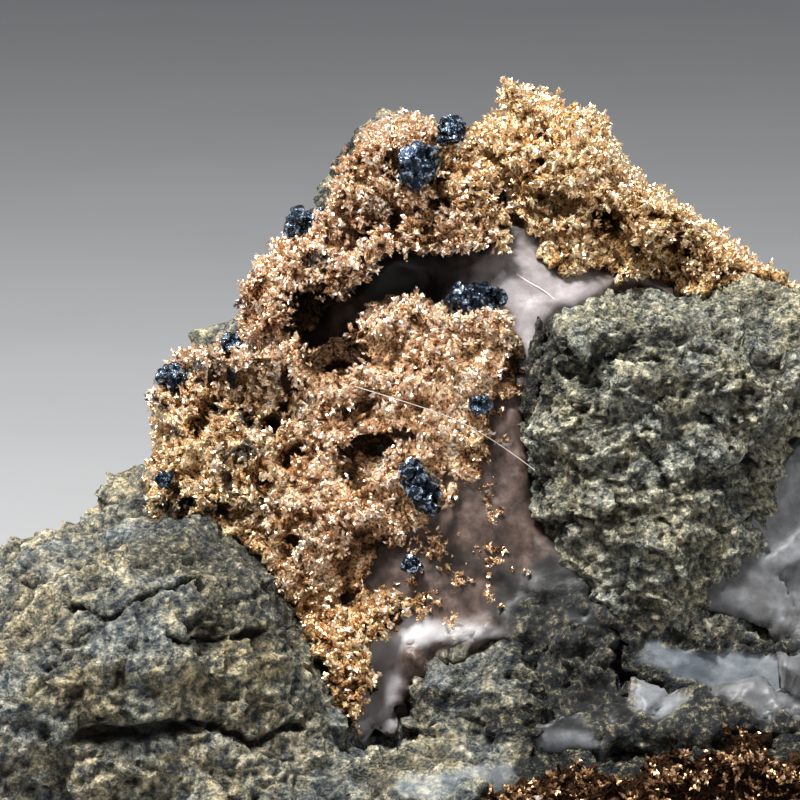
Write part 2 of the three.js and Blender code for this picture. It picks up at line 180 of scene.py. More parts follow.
# meshes as arrays of points in mm
def meshArrays(mesh):
    points = np.zeros(len(mesh.vertices) * 3, np.float32)
    mesh.vertices.foreach_get("co", points)
    normals = np.zeros(len(mesh.vertices) * 3, np.float32)
    mesh.vertices.foreach_get("normal", normals)
    return points.reshape(-1, 3).astype(float) / mm, normals.reshape(-1, 3).astype(float)


def setPoints(mesh, points):
    mesh.vertices.foreach_set("co", (points * mm).astype(np.float32).ravel())
    mesh.update()


def meshFromArrays(name, points, faces):
    mesh = bpy.data.meshes.new(name)
    mesh.vertices.add(len(points))
    setPoints(mesh, points)
    mesh.loops.add(faces.size)
    mesh.loops.foreach_set("vertex_index", faces.ravel().astype(np.int32))
    mesh.polygons.add(len(faces))
    mesh.polygons.foreach_set("loop_start", np.arange(0, faces.size, faces.shape[1], dtype=np.int32))
    mesh.update(calc_edges=True)
    return mesh


def meshOfCopies(name, points, faces):  # copies of one small shape, with a row of points for each
    starts = points.shape[1] * np.arange(len(points))[:, None, None]
    return meshFromArrays(name, points.reshape(-1, 3), (faces[None] + starts).reshape(-1, 3))


def paintPoints(mesh, **layers):  # a value at each point, for the materials to read
    for name, values in layers.items():
        attribute = mesh.attributes.new(name, "FLOAT", "POINT")
        attribute.data.foreach_set("value", values.astype(np.float32))


def addPiece(name, mesh, material, nodes=(), smooth=True):
    piece = addObject(name, mesh)
    mesh.materials.append(material)
    mesh.polygons.foreach_set("use_smooth", [smooth] * len(mesh.polygons))
    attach(piece, "root")
    for node in nodes:
        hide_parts(node)
    print(name, len(mesh.polygons), "faces")


def camelName(nodeName):
    first, *others = nodeName.split("_")
    return first + "".join(word.title() for word in others)


def evenMesh(mesh, voxel, smoothing=0):  # an even mesh over a surface
    source = addObject("voxelSource", mesh)
    modifier = source.modifiers.new("voxels", "REMESH")
    modifier.mode = "VOXEL"
    modifier.voxel_size = voxel * mm
    if smoothing:
        softener = source.modifiers.new("softener", "SMOOTH")
        softener.iterations = smoothing
    depsgraph = bpy.context.evaluated_depsgraph_get()
    result = bpy.data.meshes.new_from_object(source.evaluated_get(depsgraph))
    bpy.data.objects.remove(source)
    result.materials.clear()
    return result


def remeshedNode(nodeName, voxel):
    return evenMesh(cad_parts[nodeName].data.copy(), voxel)


def nodesNamed(start):
    return sorted(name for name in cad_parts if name.startswith(start))


def nodeBox(nodeName):  # its lowest and its highest corner
    return [np.array(corner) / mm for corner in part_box(nodeName)]


def nodeTree(*nodeNames):
    points, faces = [], []
    for name in nodeNames:
        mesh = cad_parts[name].data
        start = len(points)
        points += [v.co / mm for v in mesh.vertices]
        faces += [[start + i for i in polygon.vertices] for polygon in mesh.polygons]
    return BVHTree.FromPolygons(points, faces)


def meshTree(mesh):
    return BVHTree.FromPolygons(meshArrays(mesh)[0], [polygon.vertices for polygon in mesh.polygons])


wallTree = nodeTree("wall_rock")
rockTree = nodeTree("wall_rock", "broken_block")
hostTree = nodeTree("wall_rock", "broken_block", "calcite")

showSide = {
    "turned": 0.2,  # how far a face may turn away and still count as seen
    "clearance": 1.5,  # a line of sight starts this far above the surface
    "blockers": ("wall_rock", "broken_block", "silver_front", "silver_crest", "silver_foot"),
}
blockerTrees = [nodeTree(name) for name in showSide["blockers"]]


def refineShowSide(mesh, levels):  # halves the faces that the camera sees, again and again
    points, normals = meshArrays(mesh)
    seen = inPicture(points) & (normals @ lookForward < showSide["turned"])
    for i in np.nonzero(seen)[0]:
        towards = unit(cameraPlace - points[i])
        start = points[i] + towards * showSide["clearance"]
        for blocker in blockerTrees:
            if blocker.ray_cast(Vector(start), Vector(towards))[0] is not None:
                seen[i] = False
    paintPoints(mesh, seen=seen)
    for _ in range(levels):
        shape = bmesh.new()
        shape.from_mesh(mesh)
        layer = shape.verts.layers.float["seen"]
        seenFaces = [face for face in shape.faces if any(v[layer] > 0.5 for v in face.verts)]
        edges = {edge for face in seenFaces for edge in face.edges}
        bmesh.ops.subdivide_edges(shape, edges=list(edges), cuts=1, use_grid_fill=True)
        bmesh.ops.triangulate(shape, faces=[face for face in shape.faces if len(face.verts) > 4])
        shape.to_mesh(mesh)
        shape.free()
    mesh.attributes.remove(mesh.attributes["seen"])
    mesh.update()
    return mesh


def gapClosing(points, tree, reach=1.3, grow=0.5, closed=0.35):  # a piece swells to meet a close neighbour
    gap = np.full(len(points), reach)
    for i, point in enumerate(points):
        distance = tree.find_nearest(Vector(point), reach)[3]
        if distance is not None:
            gap[i] = distance
    return grow * fallStep(gap, closed, reach)


def grownNode(nodeName, voxel, tree, smoothing):  # a node's even mesh, grown to meet its neighbours
    mesh = remeshedNode(nodeName, voxel)
    points, normals = meshArrays(mesh)
    setPoints(mesh, points + normals * gapClosing(points, tree)[:, None])
    return evenMesh(mesh, voxel, smoothing)


spotEdge = {"wander": [(1.3, 0.25), (0.5, 0.15)], "fade": (0.7, 1.2)}  # how ragged and how soft


def spotMask(points, spots, deepest=8):  # spots given as right, up, half width and half height
    mask = np.zeros(len(points))
    wander = mixedNoise(points, spotEdge["wander"], 91)
    for right, up, wide, tall in spots:
        away = np.hypot((points[:, 0] - right) / wide, (points[:, 2] - up) / tall)
        mask = np.maximum(mask, fallStep(away + wander, *spotEdge["fade"]))
    return mask * (points[:, 1] < deepest)


def pointsFromFront(tree, places):  # where lines from the front meet a surface, at places right and up
    hits = [tree.ray_cast(Vector((right, -60, up)), Vector((0, 1, 0)))[0] for right, up in places]
    return [np.array(hit) for hit in hits if hit is not None]


def pathOnWall(places, spacing=0.15):  # a line of points on the rock's face
    found = pointsFromFront(wallTree, places)
    path = []
    for start, end in zip(found, found[1:]):
        count = max(2, int(np.linalg.norm(end - start) / spacing))
        path += [start + (end - start) * i / count for i in range(count)]
    return np.array(path + found[-1:])


def distanceToPath(points, path, reach, batch=4000):
    near = np.full(len(points), reach)
    chosen = np.nonzero(np.all((points > path.min(0) - reach) & (points < path.max(0) + reach), axis=1))[0]
    for start in range(0, len(chosen), batch):
        part = chosen[start:start + batch]
        gap = np.linalg.norm(points[part][:, None] - path[None], axis=2).min(axis=1)
        near[part] = np.minimum(near[part], gap)
    return near


# material graphs
def newGraph(name):
    material = bpy.data.materials.new(name)
    material.use_nodes = True
    graph = material.node_tree
    return material, graph, graph.nodes["Principled BSDF"]


def fillInputs(graph, node, inputs):
    for key, value in inputs.items():
        if isinstance(value, bpy.types.NodeSocket):
            graph.links.new(value, node.inputs[key])
        else:
            node.inputs[key].default_value = value


def addNode(graph, kind, inputs, **settings):
    node = graph.nodes.new(kind)
    for key, value in settings.items():
        setattr(node, key, value)
    fillInputs(graph, node, inputs)
    return node


def objectPlace(graph):
    return addNode(graph, "ShaderNodeTexCoord", {}).outputs["Object"]


def noiseNode(graph, place, size, detail=4.0, roughness=0.6):  # size of its features in mm
    inputs = {"Vector": place, "Scale": 1 / (size * mm), "Detail": detail, "Roughness": roughness}
    return addNode(graph, "ShaderNodeTexNoise", inputs).outputs["Fac"]


def grainNode(graph, place, size):
    inputs = {"Vector": place, "Scale": 1 / (size * mm)}
    return addNode(graph, "ShaderNodeTexVoronoi", inputs).outputs["Distance"]


def attributeNode(graph, name):
    return addNode(graph, "ShaderNodeAttribute", {}, attribute_name=name).outputs["Fac"]


def ramp(graph, value, stops):  # stops are pairs of place and colour
    node = addNode(graph, "ShaderNodeValToRGB", {"Fac": value})
    elements = node.color_ramp.elements
    while len(elements) < len(stops):
        elements.new(0.5)
    for element, (place, colour) in zip(elements, stops):
        element.position = place
        element.color = (*colour, 1)
    return node.outputs["Color"]


def mixColour(graph, share, first, second, blend="MIX"):
    colours = [(*colour, 1) if isinstance(colour, tuple) else colour for colour in (first, second)]
    inputs = {0: share, 6: colours[0], 7: colours[1]}
    return addNode(graph, "ShaderNodeMix", inputs, data_type="RGBA", blend_type=blend).outputs[2]


def spread(graph, value, low, high, least=0.0, most=1.0):  # stretches a value from one range to another
    inputs = {"Value": value, "From Min": low, "From Max": high, "To Min": least, "To Max": most}
    return addNode(graph, "ShaderNodeMapRange", inputs, clamp=True).outputs["Result"]


def bump(graph, height, distance, strength, normal=None):
    inputs = {"Height": height, "Distance": distance * mm, "Strength": strength}
    if normal is not None:
        inputs["Normal"] = normal
    return addNode(graph, "ShaderNodeBump", inputs).outputs["Normal"]


# what the wall rock, the block and the grit on the calcite have in common
stone = {
    "bend": (1.6, 0.35),  # size and height of the bends in the beds
    "lumps": [(4.2, 1.0), (2.1, 0.5)],  # size and height of each layer of lumps
    "ridgeTop": 0.55,
    "ridgeFall": 1.9,
    "grainTone": (0.3, 1.4),  # the height of the lowest grains, and how much more the highest have
    "pitEdge": (0.3, 0.55),
    "chipShade": 0.4,  # how much of the chips shows in the shading of hollows and ridges
    "toneSteps": (0.38, 0.46, 0.53, 0.61),  # where the four tones lie in the flecks
    "tintSteps": (0.38, 0.6),
    # darkStops are the colours of the painted shade, near black with a few warm flecks
    "darkStops": [
        (0.42, (0.002, 0.003, 0.005)), (0.52, (0.009, 0.012, 0.013)),
        (0.585, (0.14, 0.12, 0.07)), (0.68, (0.46, 0.4, 0.26)),
    ],
    "glazeStops": [(0.4, (0.085, 0.1, 0.115)), (0.6, (0.25, 0.27, 0.29))],
    "ochre": (1.12, 0.98, 0.66),
    # the relief paints light and shade: painted shade in the hollows, painted light on the ridges
    "reliefRange": (-0.36, 0.33),  # from the hollows to the ridges
    "reliefShade": (0.1, 1.55),  # how dark the hollows and how light the ridges get
    "surface": {"Roughness": 0.62, "Specular IOR Level": 0.22},
}

# wall rock: the big shoulder at the left, the ledges, the back wall and the footing
rock = {
    "voxel": 0.68,
    "levels": 2,
    "lumpHeight": 0.4,
    "chips": [(3.2, 0.2), (1.4, 0.24)],  # size and slope of each layer of flat chips
    "ridges": [(1.3, 0.1), (0.6, 0.16)],  # size and height of each layer of ridges
    "bedding": (0.9, 1.0, 1.15),  # the ridges are flatter across the beds
    "grainSize": 0.46,
    "grainHeight": 0.2,
    "pitSize": 1.3,
    "pitDepth": 0.22,
    "patchSize": 3.4,
    "fleckSize": 0.45,
    "tones": {
        "dark": (0.03, 0.037, 0.045),
        "middle": (0.135, 0.145, 0.135),
        "warm": (0.37, 0.335, 0.235),
        "pale": (0.74, 0.67, 0.5),
        "coldTint": (0.58, 0.66, 0.78),
        "warmTint": (1.0, 0.93, 0.8),
    },
    "crack": {"width": 0.22, "depth": 0.7, "shade": 1.5, "wander": (0.8, 0.18)},
    "crackPaths": [
        [
            (-18.9, 16.2), (-17.2, 16.7), (-15.5, 16.6), (-13.5, 16.3),
            (-12.1, 17.2), (-10.7, 17.4), (-9.5, 17.8), (-9.3, 17.2),
        ],
        [(-10.9, 15.5), (-10, 15.2), (-7.8, 15.2), (-6.3, 15.2)],
        [(-9.7, 11.4), (-8.4, 10.9), (-6.8, 10.3), (-6.3, 10.1), (-5.5, 10.6), (-4.5, 10.5)],
    ],
    "overhang": {"start": 0.1, "width": 0.55, "depth": 0.6, "wander": (1.2, 0.3)},
    "overhangPath": [(-14.9, 10.6), (-12.6, 10.9), (-9.7, 11.4)],
    # a raised plate above the overhang, with the two ends of each of its soft edges
    "raised": {
        "left": (-14.9, -14.5), "right": (-10.0, -7.0), "low": (10.9, 11.3), "high": (13.4, 15.4),
        "front": -6.0, "height": 0.5, "wander": [(1.8, 0.5), (0.6, 0.2)],
    },
    # painted shade: the ledges low at the right, in the shadow of the block, are darker
    "darkSide": {
        "left": (4.6, 6.6), "right": (20.0, 25.0), "low": (2.5, 7.0), "high": (13.2, 15.0),
        "back": (-3.5, 0.0), "wander": [(1.6, 0.8), (4.5, 1.6)],
    },
    # a smooth bluish band on the right ledge, whose edges fall to the right
    "glaze": {
        "left": 11.6, "fade": 1.8, "low": (12.5, 13.0), "lowFall": 0.3,
        "high": (13.5, 13.8), "highFall": 0.12, "back": (-3.0, -1.0), "wander": [(1.4, 0.3)],
    },
    "glazeFlat": 0.9,  # how much of the relief the glaze levels
    "glazeSink": 0.15,
    # spots given as right, up, half width and half height
    # the dark spots are painted shade on the ledges and hollows under the block
    "dark": [
        (11.0, 12.6, 2.8, 1.7), (17.6, 9.8, 3.4, 1.9), (7.6, 15.4, 2.4, 1.0), (7.4, 10.2, 2.2, 0.8),
        (14.2, 10.6, 2.0, 1.2), (2.6, 11.2, 1.7, 0.4), (5.0, 9.9, 0.7, 0.8), (1.6, 9.6, 1.2, 0.25),
    ],
    # painted shadow on the rock behind the arch
    "behindArch": [(-2.9, 36.6, 1.6, 2.2), (-4.6, 34.2, 1.6, 2.4), (-6.0, 32.0, 1.6, 1.6)],
    # painted shadow on the boulder under the lower edge of the silver
    "stained": [
        (-11.8, 19.0, 1.8, 0.9), (-10.0, 18.9, 2.6, 1.2), (-7.7, 17.6, 2.6, 1.7), (-5.4, 15.7, 2.2, 1.8),
    ],
    "milky": [(1.6, 8.0, 1.9, 0.5), (4.4, 8.5, 1.5, 0.3)],  # smooth patches low in front
    "ochre": [(-12.4, 12.6, 5.6, 1.7), (-6.6, 13.4, 2.2, 2.2)],
    "strength": {
        "dark": 0.95, "darkSide": 0.97, "behindArch": 0.8, "stained": 0.62,
        "milky": 0.6, "ochre": 0.45, "glaze": 0.85,
    },
    "archDepth": 11,  # the spots behind the arch reach this far back
}


def rockRelief(points, settings, seed):
    beds = points * np.array(settings["bedding"])
    size, height = stone["bend"]
    beds = beds + height * np.stack([noiseAt(beds, size, seed + i) for i in (20, 21, 22)], axis=1)
    lumps = settings["lumpHeight"] * mixedNoise(points, stone["lumps"], seed)
    chips = chipsAt(beds, settings["chips"], seed)
    ridges = np.zeros(len(points))
    for i, (size, tall) in enumerate(settings["ridges"]):
        fall = stone["ridgeFall"] * np.abs(noiseAt(beds, size, seed + 4 + i))
        ridges += tall * (stone["ridgeTop"] - fall)
    distance, tone = grainsAt(beds, settings["grainSize"], seed)
    leastGrain, moreGrain = stone["grainTone"]
    grains = settings["grainHeight"] * (0.5 - distance) * (leastGrain + moreGrain * tone)
    pitNoise = noiseAt(beds, settings["pitSize"], seed + 9)
    pits = -settings["pitDepth"] * smoothStep(pitNoise, *stone["pitEdge"])
    relief = ridges + grains + pits + stone["chipShade"] * chips
    return lumps + ridges + grains + pits + chips, relief


# painted shade over the low right ledges, with ragged soft edges
def darkSide(points, side):
    wander = mixedNoise(points, side["wander"], 35)
    right, up = points[:, 0] + wander, points[:, 2] + 0.5 * wander
    share = smoothStep(right, *side["left"]) * fallStep(right, *side["right"])
    share *= fallStep(points[:, 1] + wander, *side["back"])
    return share * smoothStep(up, *side["low"]) * fallStep(up, *side["high"])


def glazeShare(points, glaze):
    wander = mixedNoise(points, glaze["wander"], 37)
    along, up = points[:, 0] + wander - glaze["left"], points[:, 2] + wander
    under = fallStep(up + glaze["highFall"] * along, *glaze["high"])
    over = smoothStep(up + glaze["lowFall"] * along, *glaze["low"])
    return smoothStep(along, 0, glaze["fade"]) * under * over * fallStep(points[:, 1], *glaze["back"])


def raisedPlate(points, plate):
    wander = mixedNoise(points, plate["wander"], 33)
    right, up = points[:, 0] + wander, points[:, 2] + wander
    across = smoothStep(right, *plate["left"]) * fallStep(right, *plate["right"])
    upward = smoothStep(up, *plate["low"]) * fallStep(up, *plate["high"])
    return plate["height"] * across * upward * (points[:, 1] < plate["front"])


def grooveAlong(points, path, groove, seed, reach):  # how deep a groove along a path is at each point
    gap = distanceToPath(bent(points, groove["wander"], seed), pathOnWall(path), reach)
    return groove["depth"] * fallStep(gap, groove.get("start", 0), groove["width"])


def flecks(graph, fleck, tones):
    names = ("dark", "middle", "warm", "pale")
    return ramp(graph, fleck, [(step, tones[name]) for step, name in zip(stone["toneSteps"], names)])


# painted shade: darker in the dark spots and in the hollows; painted light on the ridges
def shadedStone(graph, colour, fleck):  # darker in the dark spots and in the hollows
    colour = mixColour(graph, attributeNode(graph, "dark"), colour, ramp(graph, fleck, stone["darkStops"]))
    shade = spread(graph, attributeNode(graph, "relief"), *stone["reliefRange"], *stone["reliefShade"])
    return mixColour(graph, 1.0, colour, shade, "MULTIPLY")


def rockMaterial(name, settings):
    material, graph, shader = newGraph(name)
    place = objectPlace(graph)
    tones = settings["tones"]
    fleck = noiseNode(graph, place, settings["fleckSize"], 8, 0.78)
    patch = noiseNode(graph, place, settings["patchSize"], 5, 0.62)
    tints = [(step, tones[tint]) for step, tint in zip(stone["tintSteps"], ("coldTint", "warmTint"))]
    colour = mixColour(graph, 1.0, flecks(graph, fleck, tones), ramp(graph, patch, tints), "MULTIPLY")
    colour = mixColour(graph, attributeNode(graph, "ochre"), colour, stone["ochre"], "MULTIPLY")
    colour = shadedStone(graph, colour, fleck)
    glaze = attributeNode(graph, "glaze")
    colour = mixColour(graph, glaze, colour, ramp(graph, patch, stone["glazeStops"]))
    crisp = spread(graph, glaze, 0.0, 0.6, 1.0, 0.1)
    normal = bump(graph, noiseNode(graph, place, 0.34, 8, 0.7), 0.35, crisp)
    normal = bump(graph, grainNode(graph, place, 0.16), 0.08, crisp, normal)
    fillInputs(graph, shader, {"Base Color": colour, "Normal": normal, **stone["surface"]})
    return material


def makeWallRock():
    mesh = refineShowSide(remeshedNode("wall_rock", rock["voxel"]), rock["levels"])
    points, normals = meshArrays(mesh)
    height, relief = rockRelief(points, rock, 3)
    for path in rock["crackPaths"]:
        groove = grooveAlong(points, path, rock["crack"], 31, 2.0)
        height -= groove
        relief -= rock["crack"]["shade"] * groove
    hollow = grooveAlong(points, rock["overhangPath"], rock["overhang"], 32, 3.0)
    strength = rock["strength"]
    milky = strength["milky"] * spotMask(points, rock["milky"])
    glaze = np.maximum(glazeShare(points, rock["glaze"]), milky)
    height = (height + raisedPlate(points, rock["raised"]) - hollow) * (1 - rock["glazeFlat"] * glaze)
    height -= rock["glazeSink"] * glaze
    height *= smoothStep(points[:, 2], 0.0, 1.0)  # the underside stays flat
    setPoints(mesh, points + normals * height[:, None])
    dark = np.maximum.reduce([
        strength["dark"] * spotMask(points, rock["dark"]),
        strength["darkSide"] * darkSide(points, rock["darkSide"]),
        strength["behindArch"] * spotMask(points, rock["behindArch"], rock["archDepth"]),
        strength["stained"] * spotMask(points, rock["stained"]),
    ])
    ochre = strength["ochre"] * spotMask(points, rock["ochre"])
    # the relief carries painted shade, deepest in the cracks and under the overhang
    paintPoints(mesh, relief=relief - hollow, dark=dark, glaze=strength["glaze"] * glaze, ochre=ochre)
    addPiece("wallRock", mesh, rockMaterial("wallRock", rock), ["wall_rock"])


makeWallRock()

# broken block of the same rock at the right
block = {
    "voxel": 0.46,
    "levels": 2,
    "smoothing": 1,
    "lumpHeight": 0.2,
    "chips": [(1.9, 0.34), (0.7, 0.34)],
    "ridges": [(1.2, 0.14), (0.42, 0.1)],
    "bedding": (1.0, 1.15, 1.25),
    "grainSize": 0.36,
    "grainHeight": 0.16,
    "pitSize": 0.9,
    "pitDepth": 0.2,
    "patchSize": 2.4,
    "fleckSize": 0.4,
    "tones": {
        "dark": (0.022, 0.028, 0.03),
        "middle": (0.145, 0.15, 0.135),
        "warm": (0.38, 0.355, 0.27),
        "pale": (0.8, 0.74, 0.58),
        "coldTint": (0.7, 0.76, 0.8),
        "warmTint": (1.0, 0.96, 0.82),
    },
    # the foot of the block leans out over the ledge, and its right side with it
    "lean": {
        "foot": (14.5, 20.0), "side": (8.5, 13.0), "sideTop": (17.5, 23.0),
        "right": 1.5, "front": 1.3, "down": 0.3,
    },
    # painted shade: along the shadow under the top shelf, down the left edge and in cracks; these spots
    # also sink
    "dark": [
        (7.2, 27.6, 0.9, 2.6), (9.0, 27.1, 1.0, 0.6), (10.8, 27.9, 1.5, 0.5), (13.4, 28.5, 1.8, 0.5),
        (7.3, 21.2, 0.6, 0.9), (7.9, 19.0, 0.8, 0.5), (12.2, 15.2, 1.2, 0.6), (15.6, 21.3, 1.2, 0.3),
    ],
    "darkSink": 0.3,
    "darkStrength": 0.8,
}


def leanedBlock(points):
    lean, up = block["lean"], points[:, 2]
    low = fallStep(up, *lean["foot"])
    side = smoothStep(points[:, 0], *lean["side"]) * fallStep(up, *lean["sideTop"])
    move = [lean["right"] * side, -lean["front"] * np.maximum(low, side), -lean["down"] * low]
    return points + np.stack(move, axis=1)


def makeBlock():
    mesh = grownNode("broken_block", block["voxel"], wallTree, block["smoothing"])
    refineShowSide(mesh, block["levels"])
    points, normals = meshArrays(mesh)
    points = leanedBlock(points)
    height, relief = rockRelief(points, block, 7)
    dark = spotMask(points, block["dark"])
    setPoints(mesh, points + normals * (height - block["darkSink"] * dark)[:, None])
    paintPoints(mesh, relief=relief, dark=block["darkStrength"] * dark)
    addPiece("brokenBlock", mesh, rockMaterial("brokenBlock", block), ["broken_block"])


makeBlock()

# calcite that cements the rock: cloudy and lilac, broken into flat steps, with rock grit over its foot
calcite = {
    "voxel": 0.46,
    "levels": 1,
    "smoothing": 2,
    "swells": [(3.0, 0.1)],
    "chips": [(3.4, 0.06), (1.3, 0.04)],
    "chipsAtFoot": 4.0,  # how much taller the chips are at the foot and at the far right
    "chipsAtRight": 3.5,
    "farRight": (17.5, 21.0),
    # the grit covers the foot, and reaches higher in the middle of the right side
    "footWander": [(1.5, 0.6)],
    "foot": (12.5, 15.0),
    "rightSide": (5.0, 7.0),
    "rightEnd": (12.0, 15.0),
    "footRise": 2.2,
    "gritPatches": [(2.2, 1.0), (0.6, 0.3)],
    "gritAtRight": 0.35,
    "gritEdge": (-0.1, 0.0),
    "gritHeight": 0.2,
    "gritRelief": 0.8,
    # spots as on the rock
    # milky patches, and a painted highlight along the rim of the lower window
    "pale": [
        (7.2, 29.5, 3.6, 3.4), (-0.6, 13.4, 1.4, 1.6), (3.6, 14.0, 2.4, 0.5), (-0.9, 10.5, 1.4, 2.4),
        (12.9, 11.3, 1.4, 0.9), (8.4, 9.4, 1.8, 0.5), (4.0, 8.4, 5.0, 0.8),
    ],
    # painted shade: in the hollow under the arch and low at the right under the block
    "dark": [
        (0.6, 30.6, 3.6, 1.5), (10.6, 13.0, 3.6, 2.2), (6.4, 13.2, 2.2, 1.6), (8.2, 15.2, 3.4, 2.4),
        (17.0, 10.4, 4.0, 1.6), (9.9, 10.6, 0.9, 1.2), (14.5, 9.0, 2.4, 0.8), (7.4, 9.0, 1.6, 0.5),
    ],
    # painted light: the left strip lifted against the shade it lies in, and a painted highlight along the
    # rim
    "bright": [
        (-0.6, 13.1, 1.2, 1.2), (-0.9, 10.8, 1.1, 1.9), (3.0, 13.9, 2.2, 0.35), (1.2, 13.9, 1.0, 0.8),
    ],
    "clean": [
        (8.4, 9.6, 1.9, 0.9), (13, 11.2, 1.3, 0.9), (4.0, 8.6, 5.5, 1.4),
        (-1, 10.5, 1.8, 3.2), (19.2, 11.9, 1.6, 0.8),
    ],
    "strength": {"dark": 0.93, "darkSide": 0.96, "paleOverDark": 0.8},
    "coldEdge": (6.0, 11.0),  # it turns from lilac to grey to the right and downwards
    "coldHeight": 17.0,
    # colours: smoky and milky where it is lilac, grey and chalky where it is cold
    "smoky": [(0.34, (0.05, 0.029, 0.019)), (0.5, (0.11, 0.071, 0.052)), (0.66, (0.197, 0.138, 0.112))],
    "grey": [(0.34, (0.14, 0.142, 0.143)), (0.5, (0.2, 0.203, 0.205)), (0.66, (0.275, 0.28, 0.285))],
    "streaks": [(0.42, (0.45, 0.42, 0.41)), (0.62, (1.6, 1.6, 1.65))],
    "milky": [(0.4, (0.32, 0.275, 0.265)), (0.6, (0.46, 0.41, 0.41))],
    "chalky": [(0.4, (0.2, 0.215, 0.23)), (0.6, (0.35, 0.365, 0.375))],
    # brightTone is the colour of the painted light
    "brightTone": (0.8, 0.76, 0.76),
    # darkTone is the colour of the painted shade
    "darkTone": (0.016, 0.018, 0.017),
    "surface": {
        "IOR": 1.55, "Specular IOR Level": 0.3,
        "Subsurface Weight": 0.3, "Subsurface Radius": (1.0, 0.9, 0.95), "Subsurface Scale": 0.8 * mm,
    },
}


def calciteMaterial():
    material, graph, shader = newGraph("calcite")
    place = objectPlace(graph)
    cloud = noiseNode(graph, place, 3.6, 5, 0.6)
    fine = noiseNode(graph, place, 0.9, 7, 0.72)
    fleck = noiseNode(graph, place, 0.4, 8, 0.78)
    cold, coat = attributeNode(graph, "cold"), attributeNode(graph, "grit")

    def stops(noise, name):
        return ramp(graph, noise, calcite[name])

    colour = mixColour(graph, cold, stops(cloud, "smoky"), stops(cloud, "grey"))
    streakShare = spread(graph, cold, 0.0, 1.0, 0.7, 0.35)
    colour = mixColour(graph, streakShare, colour, stops(fine, "streaks"), "MULTIPLY")
    milky = mixColour(graph, cold, stops(fine, "milky"), stops(fine, "chalky"))
    colour = mixColour(graph, attributeNode(graph, "pale"), colour, milky)
    # painted light in the bright spots
    colour = mixColour(graph, attributeNode(graph, "bright"), colour, calcite["brightTone"])
    # painted shade in the dark spots
    colour = mixColour(graph, attributeNode(graph, "dark"), colour, calcite["darkTone"])
    # the grit gets painted shade as the rock does
    grit = shadedStone(graph, flecks(graph, fleck, rock["tones"]), fleck)
    rough = bump(graph, noiseNode(graph, place, 0.3, 7, 0.7), 0.3, 1.0)
    smooth = bump(graph, noiseNode(graph, place, 1.2, 5, 0.6), 0.1, 0.4)
    normal = addNode(graph, "ShaderNodeMix", {0: coat, 4: smooth, 5: rough}, data_type="VECTOR").outputs[1]
    fillInputs(graph, shader, {
        "Base Color": mixColour(graph, coat, colour, grit),
        "Roughness": spread(graph, coat, 0.0, 1.0, 0.48, 0.75),
        "Transmission Weight": spread(graph, coat, 0.0, 0.6, 0.35, 0.0),
        "Normal": normal,
        **calcite["surface"],
    })
    return material


def gritShare(points, glaze):
    side = points[:, 0] + mixedNoise(points, calcite["footWander"], 49)
    right = smoothStep(side, *calcite["rightSide"])
    top = points[:, 2] - calcite["footRise"] * right * fallStep(side, *calcite["rightEnd"])
    foot = fallStep(top, *calcite["foot"])
    grit = mixedNoise(points, calcite["gritPatches"], 45) + calcite["gritAtRight"] * right
    grit = smoothStep(grit, *calcite["gritEdge"]) * foot
    return grit * (1 - spotMask(points, calcite["clean"])) * (1 - glaze), foot


def makeCalcite():
    mesh = grownNode("calcite", calcite["voxel"], rockTree, calcite["smoothing"])
    refineShowSide(mesh, calcite["levels"])
    points, normals = meshArrays(mesh)
    glaze = glazeShare(points, rock["glaze"])
    grit, foot = gritShare(points, glaze)
    chips = chipsAt(points, calcite["chips"], 41)
    farRight = smoothStep(points[:, 0], *calcite["farRight"])
    chips *= 1 + calcite["chipsAtFoot"] * foot + calcite["chipsAtRight"] * farRight
    gritRise, relief = rockRelief(points, rock, 47)
    height = chips + mixedNoise(points, calcite["swells"], 43)
    height += grit * (calcite["gritHeight"] + calcite["gritRelief"] * gritRise)
    setPoints(mesh, points + normals * height[:, None])
    strength = calcite["strength"]
    bright, pale, dark = (spotMask(points, calcite[spots]) for spots in ("bright", "pale", "dark"))
    dark = np.maximum(strength["dark"] * dark, strength["darkSide"] * darkSide(points, rock["darkSide"]))
    dark *= 1 - strength["paleOverDark"] * np.maximum(pale, glaze)
    cold = smoothStep(points[:, 0] + 0.5 * (calcite["coldHeight"] - points[:, 2]), *calcite["coldEdge"])
    paintPoints(mesh, relief=relief, bright=bright, pale=pale, dark=dark, cold=cold, grit=grit)
    addPiece("calciteMass", mesh, calciteMaterial(), ["calcite"])


makeCalcite()

# a thin bright vein across the clear calcite
vein = {
    "material": "vein",
    "radius": 0.035,
    "path": [(6.2, 30.9), (6.8, 30.5), (7.5, 30.2), (8.1, 29.7), (8.6, 29.3), (9.0, 28.8)],
    "tones": [(0.3, (0.6, 0.56, 0.54)), (0.7, (0.9, 0.87, 0.86))],
    "toneSize": 0.8,
    "roughness": 0.4,
}


def addStrand(name, strand, places):
    data = bpy.data.curves.new(name, "CURVE")
    data.dimensions = "3D"
    data.bevel_depth = strand["radius"] * mm
    spline = data.splines.new("NURBS")
    spline.points.add(len(places) - 1)
    for point, place in zip(spline.points, places):
        point.co = (*(Vector(place) * mm), 1)
    spline.use_endpoint_u = True
    spline.order_u = 4
    material, graph, shader = newGraph(strand["material"])
    colour = ramp(graph, noiseNode(graph, objectPlace(graph), strand["toneSize"]), strand["tones"])
    fillInputs(graph, shader, {"Base Color": colour, "Roughness": strand["roughness"]})
    data.materials.append(material)
    piece = addObject(name, data)
    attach(piece, "root")


veinPlaces = pointsFromFront(meshTree(bpy.data.objects["calciteMass"].data), vein["path"])
addStrand("calciteVein", vein, veinPlaces)

